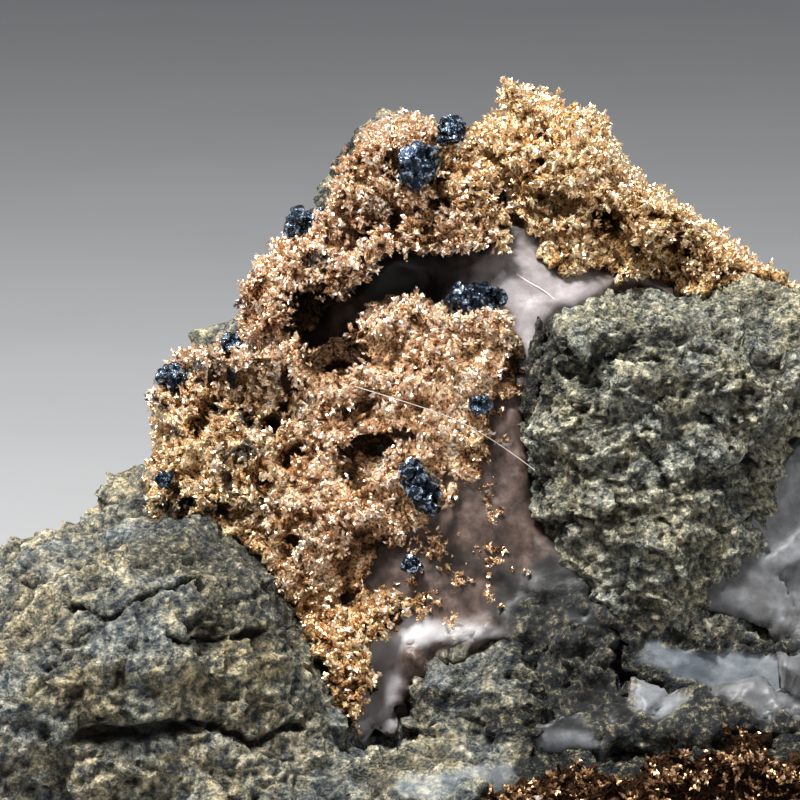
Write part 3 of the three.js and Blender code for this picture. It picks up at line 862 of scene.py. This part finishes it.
# mossy silver: a nodular crust with crystal sprigs that stand on it
silver = {
    "crustVoxel": 0.36,
    "crustLevels": 1,
    "crustDepth": 0.5,  # how far the crust lies under the tips of the sprigs
    "crustShare": 0.3,  # of a lobe's own thickness, the most that its crust may sink
    "nodules": [(0.62, 0.34), (0.3, 0.2)],  # size and height of each layer of round lumps
    "noduleBend": (0.3, 0.1),
    "hollowSize": 1.5,
    "hollowEdge": (0.22, 0.5),
    "hollowDepth": 1.2,
    # caves and ore spots, given as the spots on the rock are
    "caves": [
        (-3.3, 27.9, 1.7, 1.6), (-1.1, 22.9, 1.0, 0.6), (0.4, 23.6, 0.8, 0.35),
        (-4.8, 22.9, 0.5, 0.4), (-5.2, 18.3, 0.45, 0.5), (-6.2, 24.2, 0.4, 0.4),
    ],
    "caveDepth": 1.8,
    "oreSpots": [
        (-0.8, 34.4, 0.8, 0.45), (-3.9, 31.8, 0.5, 0.5), (-2.1, 29.6, 0.5, 0.6), (-8.2, 22.2, 0.6, 0.7),
    ],
    "clumps": [(0.95, 0.95), (0.5, 0.4)],  # size and height of each layer of round clumps
    "clumpBend": (0.5, 0.2),
    "gapDepth": -0.34,  # below this the clumps leave a gap, where only a share of the sprigs grows
    "gapShare": 0.5,
    "samples": 36000,  # places tried on each lobe
    "turned": 0.3,  # how far a place may turn away and still count as seen
    "freeSpace": 0.5,  # a hidden sprig grows only where this much is free above it
    "hiddenSpacing": 1.05,  # between sprigs on the sides that face away
    "hiddenScale": 1.3,
    "scale": (0.8, 0.4),  # the smallest sprig, and how much more the largest has
    "rooted": 0.9,  # of its height a sprig starts this share below the surface
    "lean": 0.7,  # how much the sprigs on the show side lean to the front
    "rises": [(1.4, 0.35)],
    "highest": 0.4,
    "closing": (0.9, 0.3),  # from how near a lobe swells to meet the stone, and by how much
}
silverLobes = {  # spacing is between sprigs on the show side, lift makes a lobe lighter or darker
    "silver_front": {"seed": 1, "spacing": 0.298, "lift": 0.46},
    "silver_arch": {"seed": 2, "spacing": 0.3, "lift": 0.33},
    "silver_crest": {"seed": 3, "spacing": 0.34, "lift": 0.43},
    "silver_tail": {"seed": 4, "spacing": 0.31, "lift": 0.22},
    "silver_foot": {"seed": 5, "spacing": 0.36, "lift": -0.22},
}
silverTones = {
    "pink": [
        (0.0, (0.06, 0.033, 0.018)), (0.28, (0.4, 0.225, 0.115)),
        (0.6, (0.85, 0.57, 0.35)), (1.0, (1.0, 0.8, 0.62)),
    ],
    "golden": [
        (0.0, (0.065, 0.034, 0.014)), (0.28, (0.5, 0.29, 0.12)),
        (0.6, (0.92, 0.63, 0.34)), (1.0, (1.0, 0.81, 0.55)),
    ],
    "copper": [
        (0.0, (0.03, 0.015, 0.008)), (0.28, (0.23, 0.125, 0.065)),
        (0.55, (0.58, 0.36, 0.19)), (1.0, (0.92, 0.69, 0.43)),
    ],
    "gaps": [(0.42, (0.12, 0.11, 0.1)), (0.5, (0.75, 0.75, 0.75)), (0.6, (1.7, 1.7, 1.7))],
    # the white of the painted glints
    "bright": (0.97, 0.98, 1.0),
    "ore": (0.025, 0.037, 0.055),
}
# what lightens or darkens the sprigs and the crust under them: painted light toward the tips and on the
# tops, painted shade in the gaps between clumps, in the hollows and caves, and where the crust meets the
# stone
sprigTone = {"base": 0.11, "rise": 0.62, "clumps": 0.85, "hollows": 0.4, "caves": 0.6, "spread": 0.14}
crustTone = {"base": 0.14, "rise": 0.75, "hollows": 0.45, "close": 0.5}
toneClouds = [(1.8, 0.2), (0.6, 0.15)]
# one sprig: a stem of knots with side branches, and a crystal at each knot
sprig = {
    "knots": 4,  # along the stem
    "knotStep": 0.14,
    "branchKnots": 3,
    "branchStep": 0.13,
    "branchReach": (2.9, 2.2),  # knots on a branch at the root, and how many fewer at the tip
    "bareShare": 0.3,  # of the stem, without branches
    "branchForward": 0.7,
    "branchLift": 0.05,
    "missing": 0.1,  # share of the crystals that is left out
    "crystalLength": 0.17,
    "crystalWidth": 0.1,
    # how unruly each part is
    "sway": {
        "root": 0.35, "stem": 0.3, "stemCrystal": 0.5, "branch": 0.4, "branchCrystal": 0.7, "fan": 0.5,
    },
    "jitter": 0.03,
    # the least size of each, and how much more the largest has
    "stemSize": (0.7, 0.6),
    "branchSize": (0.55, 0.6),
    "length": (0.7, 0.6),
    "thinness": (0.45, 0.4),
}
octahedron = np.array([
    [0, 2, 4], [2, 1, 4], [1, 3, 4], [3, 0, 4], [2, 0, 5], [1, 2, 5], [3, 1, 5], [0, 3, 5],
])


def silverMaterial(name, roughness, grain):
    material, graph, shader = newGraph(name)
    tone = attributeNode(graph, "tone")
    pink, golden, copper = (ramp(graph, tone, silverTones[tint]) for tint in ("pink", "golden", "copper"))
    colour = mixColour(graph, attributeNode(graph, "gold"), pink, golden)
    colour = mixColour(graph, attributeNode(graph, "copper"), colour, copper)
    colour = mixColour(graph, attributeNode(graph, "bright"), colour, silverTones["bright"])
    colour = mixColour(graph, attributeNode(graph, "ore"), colour, silverTones["ore"])
    if grain:
        height = noiseNode(graph, objectPlace(graph), grain, 5, 0.75)
        fillInputs(graph, shader, {"Normal": bump(graph, height, grain * 0.8, 1.0)})
        # painted shade in the grain's hollows and painted light on its tops
        colour = mixColour(graph, 1.0, colour, ramp(graph, height, silverTones["gaps"]), "MULTIPLY")
    fillInputs(graph, shader, {"Base Color": colour, "Metallic": 1.0, "Roughness": roughness})
    return material


silverSkin = silverMaterial("silver", 0.4, 0)
crustSkin = silverMaterial("silverCrust", 0.45, 0.15)


def surfaceSamples(mesh, count, random):
    mesh.calc_loop_triangles()
    corners = np.zeros(len(mesh.loop_triangles) * 3, np.int32)
    mesh.loop_triangles.foreach_get("vertices", corners)
    corners = corners.reshape(-1, 3)
    points, normals = meshArrays(mesh)
    a, b, c = points[corners[:, 0]], points[corners[:, 1]], points[corners[:, 2]]
    area = np.linalg.norm(np.cross(b - a, c - a), axis=1)
    chosen = random.choice(len(corners), count, p=area / area.sum())
    u, v = random.random((2, count, 1))
    flip = u + v > 1
    u, v = np.where(flip, 1 - u, u), np.where(flip, 1 - v, v)
    place = a[chosen] + (b - a)[chosen] * u + (c - a)[chosen] * v
    return place, unit(normals[corners].sum(axis=1))[chosen]


def thinned(places, spacings):  # drops the places that are too near to one kept before
    tree = KDTree(len(places))
    for i, place in enumerate(places):
        tree.insert(place, i)
    tree.balance()
    free = np.ones(len(places), bool)
    kept = []
    for i, (place, spacing) in enumerate(zip(places, spacings)):
        if free[i]:
            kept.append(i)
            free[[j for _place, j, _distance in tree.find_range(place, spacing)]] = False
    return np.array(kept)


def sway(random, amount, count):
    return amount * random.normal(size=(count, 3))


def uneven(random, sizes, shape):  # sizes are the least, and how much more the largest has
    least, more = sizes
    return least + more * random.random(shape)


def growSprigs(roots, outward, scale, random):  # each sprig is a bent stem with paired side branches
    count, swing = len(roots), sprig["sway"]
    place, heading = roots.copy(), unit(outward + sway(random, swing["root"], count))
    fan = unit(np.cross(heading, sway(random, 1, count)))
    everyone, numbers = np.ones(count, bool), np.arange(count)
    atRoot, fewer = sprig["branchReach"]
    grown = ([], [], [], [], [])  # centres, axes, sizes, rises and which sprig each crystal is on

    def emit(chosen, *values):
        for part, value in zip(grown, (*values, numbers)):
            part.append(value[chosen])

    for knot in range(1, sprig["knots"] + 1):
        heading = unit(heading + sway(random, swing["stem"], count))
        place = place + heading * (sprig["knotStep"] * scale)[:, None]
        rise = np.full(count, knot / sprig["knots"])
        axis = unit(heading + sway(random, swing["stemCrystal"], count))
        emit(everyone, place, axis, scale * uneven(random, sprig["stemSize"], count), rise)
        for side in (-1, 1):
            way = side * fan + sprig["branchForward"] * heading
            branch = unit(way + sway(random, swing["branch"], count))
            reach = (atRoot - fewer * rise) * (rise > sprig["bareShare"]) + random.random(count)
            for step in range(1, sprig["branchKnots"] + 1):
                where = place + branch * (sprig["branchStep"] * step * scale)[:, None]
                where = where + sway(random, sprig["jitter"], count)
                axis = unit(branch + sway(random, swing["branchCrystal"], count))
                size = scale * uneven(random, sprig["branchSize"], count)
                chosen = (step <= reach) & (random.random(count) < 1 - sprig["missing"])
                emit(chosen, where, axis, size, rise + sprig["branchLift"] * step)
        fan = unit(fan + sway(random, swing["fan"], count))
    return [np.concatenate(part) for part in grown]


def crystalMesh(name, centres, axes, sizes, random):
    helper = np.where(np.abs(axes[:, 2:3]) < 0.9, [[0.0, 0.0, 1.0]], [[1.0, 0.0, 0.0]])
    side = unit(np.cross(axes, helper))
    other = np.cross(axes, side)
    turn = random.random((len(axes), 1)) * 2 * np.pi
    first = side * np.cos(turn) + other * np.sin(turn)
    second = other * np.cos(turn) - side * np.sin(turn)
    length = sprig["crystalLength"] * sizes[:, None] * uneven(random, sprig["length"], (len(axes), 1))
    wide = sprig["crystalWidth"] * sizes[:, None]
    thin = wide * uneven(random, sprig["thinness"], (len(axes), 1))
    arms = (first * wide, second * thin, axes * length)
    corners = np.stack([centres + sign * arm for arm in arms for sign in (1, -1)], axis=1)
    return meshOfCopies(name, corners, octahedron)


# golden low at the left and on the crest, coppery at the right edge and the foot, with black spots, and
# white painted glints on a share of the lighter crystals
def paintSilver(mesh, places, tones, times):
    right, up = places[:, 0], places[:, 2]
    cloud = mixedNoise(places, [(0.4, 0.3), (1.5, 0.25)], 63)
    goldLeft = fallStep(right, -7.5, -3.5) * fallStep(up, 22, 28)
    goldCrest = smoothStep(right + 0.4 * (up - 34), 2, 6) * smoothStep(up, 27, 30)
    goldLow = smoothStep(up, 9, 10.5) * fallStep(up, 14, 18)
    copperEdge = smoothStep(right, 2.5, 6) * fallStep(up, 23, 27)
    copperFoot = 0.5 * fallStep(up, 9, 10.5)
    orePatches = smoothStep(noiseAt(places, 1, 80), 0.3, 0.45) * fallStep(right, -8, -5)
    oreSpots = smoothStep(noiseAt(places, 0.35, 82), -0.15, 0.05) * spotMask(places, silver["oreSpots"], 14)
    paintedGlints = smoothStep(noiseAt(places, 0.12, 83), 0.38, 0.5) * smoothStep(tones, 0.45, 0.8)
    shares = {
        "tone": tones,
        "gold": np.maximum.reduce([goldLeft, goldCrest, goldLow]) + cloud,
        "copper": np.maximum(copperEdge, copperFoot) + cloud,
        "ore": 0.85 * np.maximum(orePatches, oreSpots),
        "bright": 0.85 * paintedGlints,
    }
    paintPoints(mesh, **{name: np.repeat(np.clip(share, 0, 1), times) for name, share in shares.items()})


def crustRelief(points):
    nodules = np.zeros(len(points))
    for i, (size, tall) in enumerate(silver["nodules"]):
        distance, tone = grainsAt(bent(points, silver["noduleBend"], 65 + i), size, 66 + i)
        nodules += tall * (0.75 - 1.4 * distance) * (0.5 + tone)
    hollows = smoothStep(noiseAt(points, silver["hollowSize"], 71), *silver["hollowEdge"])
    return nodules, hollows, spotMask(points, silver["caves"])


def clumpRise(points):  # the moss stands in round clumps with gaps between
    places = bent(points, silver["clumpBend"], 76)
    rise = np.zeros(len(points))
    for i, (size, tall) in enumerate(silver["clumps"]):
        rise += tall * np.clip(0.42 - grainsAt(places, size, 75 + i)[0], -0.45, 0.3)
    return rise


def thicknessAt(mesh, points, normals, most=9.0):  # how thick a body is under each point of its skin
    tree = meshTree(mesh)
    starts = points - 0.05 * normals
    depths = [tree.ray_cast(Vector(a), Vector(b), most)[3] for a, b in zip(starts, -normals)]
    return np.array([most if depth is None else depth for depth in depths])


def sprigPlaces(crust, lobe, random):  # where sprigs stand, their ways out, and which are out of sight
    places, outward = surfaceSamples(crust, silver["samples"], random)
    shows = inPicture(places) & (outward @ lookForward < silver["turned"])
    outward = unit(outward - silver["lean"] * shows[:, None] * lookForward)
    free = shows | np.array([
        hostTree.ray_cast(Vector(place), Vector(out), silver["freeSpace"])[0] is None
        for place, out in zip(places, outward)
    ])
    free &= (clumpRise(places) > silver["gapDepth"]) | (random.random(len(places)) < silver["gapShare"])
    places, outward, shows = places[free], outward[free], shows[free]
    kept = thinned(places, np.where(shows, lobe["spacing"], silver["hiddenSpacing"]))
    return places[kept], outward[kept], ~shows[kept]


def makeSprigs(nodeName, lobe, crust):
    random = np.random.default_rng(lobe["seed"])
    places, outward, hidden = sprigPlaces(crust, lobe, random)
    scale = np.where(hidden, silver["hiddenScale"], 1.0) * uneven(random, silver["scale"], len(places))
    clumps = clumpRise(places)
    _nodules, hollows, caves = crustRelief(places)
    rise = clumps + mixedNoise(places, silver["rises"], 73)
    rise += gapClosing(places, hostTree, *silver["closing"]) - silver["hollowDepth"] * hollows
    rise = np.minimum(rise, np.where(hidden, 0, silver["highest"])) - silver["caveDepth"] * caves
    below = silver["rooted"] * sprig["knotStep"] * sprig["knots"] * scale - rise
    roots = places - outward * below[:, None]
    centres, axes, sizes, rises, owners = growSprigs(roots, outward, scale, random)
    # lighter toward the tips; painted shade toward the roots, in the gaps between clumps, the hollows and
    # the caves
    tones = lobe["lift"] + sprigTone["base"] + sprigTone["rise"] * rises
    tones += mixedNoise(centres, toneClouds, 61)
    shade = sprigTone["clumps"] * clumps - sprigTone["hollows"] * hollows - sprigTone["caves"] * caves
    tones += shade[owners] + sprigTone["spread"] * random.normal(size=len(centres))
    name = camelName(nodeName)
    mesh = crystalMesh(name, centres, axes, sizes, random)
    paintSilver(mesh, centres, tones, 6)
    addPiece(name, mesh, silverSkin, [nodeName], smooth=False)


def makeCrust(nodeName, lobe, crust):
    refineShowSide(crust, silver["crustLevels"])
    points, normals = meshArrays(crust)
    nodules, hollows, caves = crustRelief(points)
    close = gapClosing(points, hostTree, *silver["closing"])
    sink = (silver["crustDepth"] + silver["hollowDepth"] * hollows) * (1 - close / silver["closing"][1])
    rise = nodules + clumpRise(points)
    move = rise + close - sink - silver["caveDepth"] * caves
    move = np.maximum(move, -silver["crustShare"] * thicknessAt(crust, points, normals))
    setPoints(crust, points + normals * move[:, None])
    # painted light on the tops, painted shade in the hollows, the caves and where the crust meets the stone
    tones = lobe["lift"] + crustTone["base"] + crustTone["rise"] * rise - crustTone["hollows"] * hollows
    tones += mixedNoise(points, toneClouds[:1], 61) - caves - crustTone["close"] * close
    paintSilver(crust, points, tones, 1)
    addPiece(camelName(nodeName) + "Crust", crust, crustSkin, [nodeName])


for nodeName, lobe in silverLobes.items():
    crust = remeshedNode(nodeName, silver["crustVoxel"])
    makeSprigs(nodeName, lobe, crust)
    makeCrust(nodeName, lobe, crust)


# lone sprigs of silver on the calcite
loneSprigs = {"count": 5, "inset": (0.2, 0.6), "scale": 0.7, "spread": 0.8, "tone": 0.3, "toneRise": 0.6}


def makeLoneSprigs():
    random = np.random.default_rng(6)
    count = loneSprigs["count"]
    for nodeName in nodesNamed("silver_sprig"):
        low, high = nodeBox(nodeName)
        roots = low + (high - low) * uneven(random, loneSprigs["inset"], (count, 3))
        outward = unit(-lookForward + sway(random, loneSprigs["spread"], count))
        scale = np.full(count, loneSprigs["scale"])
        centres, axes, sizes, rises, _owners = growSprigs(roots, outward, scale, random)
        name = camelName(nodeName)
        mesh = crystalMesh(name, centres, axes, sizes, random)
        # lighter toward the tips, painted shade toward the root
        paintSilver(mesh, centres, loneSprigs["tone"] + loneSprigs["toneRise"] * rises, 6)
        addPiece(name, mesh, silverSkin, [nodeName], smooth=False)


makeLoneSprigs()

# stray specks of silver on the calcite and the rock
specks = {
    # right, up, half width, half height and how many
    "patches": [
        (3.6, 16.8, 3.0, 2.2, 18), (1.2, 16.8, 1.3, 1.8, 26), (1.4, 15.2, 0.9, 0.9, 22),
        (4.9, 17.6, 0.6, 0.5, 14), (3.2, 16.6, 0.9, 0.7, 16), (2.0, 17.9, 0.8, 0.8, 20),
        (2.0, 18.6, 1.6, 1.4, 10), (4.9, 20.8, 1.1, 1.9, 26), (5.5, 24.4, 1.0, 2.8, 34),
        (-2.9, 36.8, 0.7, 1.2, 12), (-4.2, 34.8, 0.7, 1.2, 12), (-5.3, 32.8, 0.7, 1.2, 10),
        (2.4, 15.4, 2.2, 0.8, 8),
    ],
    "rooted": 0.3,
    "spread": 0.7,
    "scale": (0.6, 0.6),
    "tone": 0.2,
    "toneRise": 0.5,
    "toneSpread": 0.15,
}


def makeSpecks():
    random = np.random.default_rng(9)
    places = []
    for right, up, wide, tall, count in specks["patches"]:
        for turn, reach in random.random((count, 2)):
            angle = 2 * np.pi * turn
            places.append((right + wide * reach * np.cos(angle), up + tall * reach * np.sin(angle)))
    roots = np.array(pointsFromFront(hostTree, places)) + specks["rooted"] * lookForward
    outward = unit(-lookForward + sway(random, specks["spread"], len(roots)))
    scale = uneven(random, specks["scale"], len(roots))
    centres, axes, sizes, rises, _owners = growSprigs(roots, outward, scale, random)
    mesh = crystalMesh("silverSpecks", centres, axes, sizes, random)
    # lighter toward the tips, painted shade toward the root
    tones = specks["tone"] + specks["toneRise"] * rises
    tones += specks["toneSpread"] * random.normal(size=len(rises))
    paintSilver(mesh, centres, tones, 6)
    addPiece("silverSpecks", mesh, silverSkin, smooth=False)


makeSpecks()

# clusters of black cubic crystals with cut corners
blackOre = {
    "crystals": 80,
    "edge": 0.21,  # as a share of the cluster
    "sizes": (0.6, 0.8),  # the least, and how much more the largest has
    "fill": 0.76,  # of the cluster's box
    "cornerCut": 0.24,
    "settle": 0.4,  # how far a cluster sinks into what it grows on
    "growth": {
        "black_cluster_centre": (0.95, 1.3, 1.95),
        "black_cluster_crest": (1.2, 1.2, 1.2),
        "black_cluster_shoulder": (1.5, 1.3, 1.6),
    },
    "slant": {"black_cluster_centre": 0.45},  # how far it leans to the left for each step up
    # the lightest tone is painted reflection: bluish glints of the studio on some facets
    "tones": [(0.42, (0.006, 0.01, 0.016)), (0.53, (0.03, 0.045, 0.068)), (0.61, (0.55, 0.67, 0.83))],
    "surface": {"Metallic": 0.85, "Roughness": 0.22},
}
groundTree = nodeTree(*(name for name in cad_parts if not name.startswith("black_cluster")))


def blackMaterial():
    material, graph, shader = newGraph("blackOre")
    place = objectPlace(graph)
    colour = ramp(graph, noiseNode(graph, place, 0.4, 5, 0.7), blackOre["tones"])
    normal = bump(graph, noiseNode(graph, place, 0.15, 3, 0.6), 0.07, 1.0)
    fillInputs(graph, shader, {"Base Color": colour, "Normal": normal, **blackOre["surface"]})
    return material


def cutCube():
    shape = bmesh.new()
    bmesh.ops.create_cube(shape, size=1)
    bmesh.ops.bevel(shape, geom=shape.verts[:], offset=blackOre["cornerCut"], affect="VERTICES", segments=1)
    shape.verts.index_update()
    points = np.array([v.co for v in shape.verts])
    triangles = []
    for face in shape.faces:  # a fan from the lowest number, so that every run cuts the faces alike
        around = [v.index for v in face.verts]
        first = around.index(min(around))
        around = around[first:] + around[:first]
        triangles += [(around[0], *pair) for pair in zip(around[1:], around[2:])]
    shape.free()
    return points, np.array(sorted(triangles))


def randomTurns(count, random):
    quaternions = unit(random.normal(size=(count, 4)))
    w, x, y, z = quaternions.T
    return np.stack([
        1 - 2 * (y * y + z * z), 2 * (x * y - z * w), 2 * (x * z + y * w),
        2 * (x * y + z * w), 1 - 2 * (x * x + z * z), 2 * (y * z - x * w),
        2 * (x * z - y * w), 2 * (y * z + x * w), 1 - 2 * (x * x + y * y),
    ], axis=1).reshape(-1, 3, 3)


def makeBlackCrystals():
    random = np.random.default_rng(8)
    material = blackMaterial()
    cubePoints, cubeFaces = cutCube()
    for nodeName in nodesNamed("black_cluster"):
        low, high = nodeBox(nodeName)
        count = blackOre["crystals"]
        middle, half = (low + high) / 2, (high - low) / 2 * blackOre["growth"].get(nodeName, 1.0)
        home = np.array(groundTree.find_nearest(Vector(middle))[0])
        middle = middle + blackOre["settle"] * unit((home - middle)[None])[0]
        arms = unit(random.normal(size=(count, 3))) * random.random((count, 1)) ** 0.5
        edges = 2 * half.mean() * blackOre["edge"] * uneven(random, blackOre["sizes"], count)
        places = middle + arms * half * blackOre["fill"]
        places[:, 0] -= blackOre["slant"].get(nodeName, 0.0) * (places[:, 2] - middle[2])
        turned = np.einsum("nij,pj->npi", randomTurns(count, random), cubePoints) * edges[:, None, None]
        mesh = meshOfCopies(nodeName, turned + places[:, None], cubeFaces)
        addPiece(camelName(nodeName), mesh, material, [nodeName], smooth=False)


makeBlackCrystals()

# a plate painted near black, standing on the left edge of the block as painted shade for its shaded side
# face
plate = {
    "top": (7.4, 0.4, 28.7),
    "foot": (6.7, -1.0, 24.4),
    "width": 0.8,
    "depth": 2.8,
    "taper": 0.55,
    "slant": 0.5,
    "voxel": 0.13,
    "lumps": [(1.3, 0.16), (0.4, 0.08)],
    "chips": [(0.7, 0.25)],
    "dark": 0.95,
    "darkPatches": [(0.8, 0.1)],
}


def makePlate():
    shape = bmesh.new()
    bmesh.ops.create_cube(shape, size=1)
    top, foot = np.array(plate["top"]), np.array(plate["foot"])
    for corner in shape.verts:
        along = corner.co.z + 0.5
        wide = plate["width"] * (1 - plate["taper"] * along)
        slant = -plate["slant"] * corner.co.x * along
        place = foot + (top - foot) * along + (wide * corner.co.x, plate["depth"] * corner.co.y, slant)
        corner.co = Vector(place) * mm
    mesh = bpy.data.meshes.new("plateBlank")
    shape.to_mesh(mesh)
    shape.free()
    mesh = evenMesh(mesh, plate["voxel"])
    points, normals = meshArrays(mesh)
    height = mixedNoise(points, plate["lumps"], 95) + chipsAt(points, plate["chips"], 97)
    setPoints(mesh, points + normals * height[:, None])
    paintPoints(mesh, relief=height, dark=plate["dark"] + mixedNoise(points, plate["darkPatches"], 98))
    addPiece("darkPlate", mesh, bpy.data.materials["brokenBlock"])


makePlate()

# a stray fibre that lies across the silver
fibre = {
    "material": "fibre",
    "radius": 0.02,
    "path": [
        (-1.9, -4.7, 26.3), (0.3, -5.2, 25.7), (2.3, -5.3, 25.1),
        (3.8, -4.7, 24.3), (5.5, -4.4, 23.2), (7.0, -4.2, 22.0),
    ],
    "tones": [(0.3, (0.5, 0.42, 0.35)), (0.7, (0.85, 0.78, 0.7))],
    "toneSize": 1.2,
    "roughness": 0.4,
}
addStrand("fibre", fibre, fibre["path"])
print("crystals and fibre done")

# pale floor, two soft lamps and a dim studio all round
studio = {
    "floorSide": 4000.0,
    "floorTones": [(0.3, (0.34, 0.34, 0.34)), (0.7, (0.36, 0.36, 0.36))],
    "floorRoughness": 0.9,
    "aim": (0, 0, 18),
    "lamps": {  # place, side and power
        "keyLamp": ((-80, -70, 290), 80.0, 2.2),
        "fillLamp": ((260, -240, 160), 220.0, 0.3),
    },
    "worldTone": (0.9, 0.93, 1.0, 1),
    "worldStrength": 0.27,
}


def makeFloor():
    half = studio["floorSide"] / 2
    corners = np.array([[-half, -half, 0], [half, -half, 0], [half, half, 0], [-half, half, 0]])
    mesh = meshFromArrays("floor", corners, np.array([[0, 1, 2, 3]]))
    material, graph, shader = newGraph("floor")
    colour = ramp(graph, noiseNode(graph, objectPlace(graph), 40.0), studio["floorTones"])
    fillInputs(graph, shader, {"Base Color": colour, "Roughness": studio["floorRoughness"]})
    mesh.materials.append(material)
    floor = addObject("floor", mesh)


def makeStudio():
    makeFloor()
    for name, (place, side, power) in studio["lamps"].items():
        data = bpy.data.lights.new(name, "AREA")
        data.size = side * mm
        data.energy = power
        aimObject(addObject(name, data), place, Vector(studio["aim"]) - Vector(place))
    world = bpy.data.worlds.new("studio")
    world.use_nodes = True
    backdrop = world.node_tree.nodes["Background"]
    backdrop.inputs["Color"].default_value = studio["worldTone"]
    backdrop.inputs["Strength"].default_value = studio["worldStrength"]
    bpy.context.scene.world = world


makeStudio()
bpy.context.scene.view_settings.view_transform = "Standard"
print("studio lit")
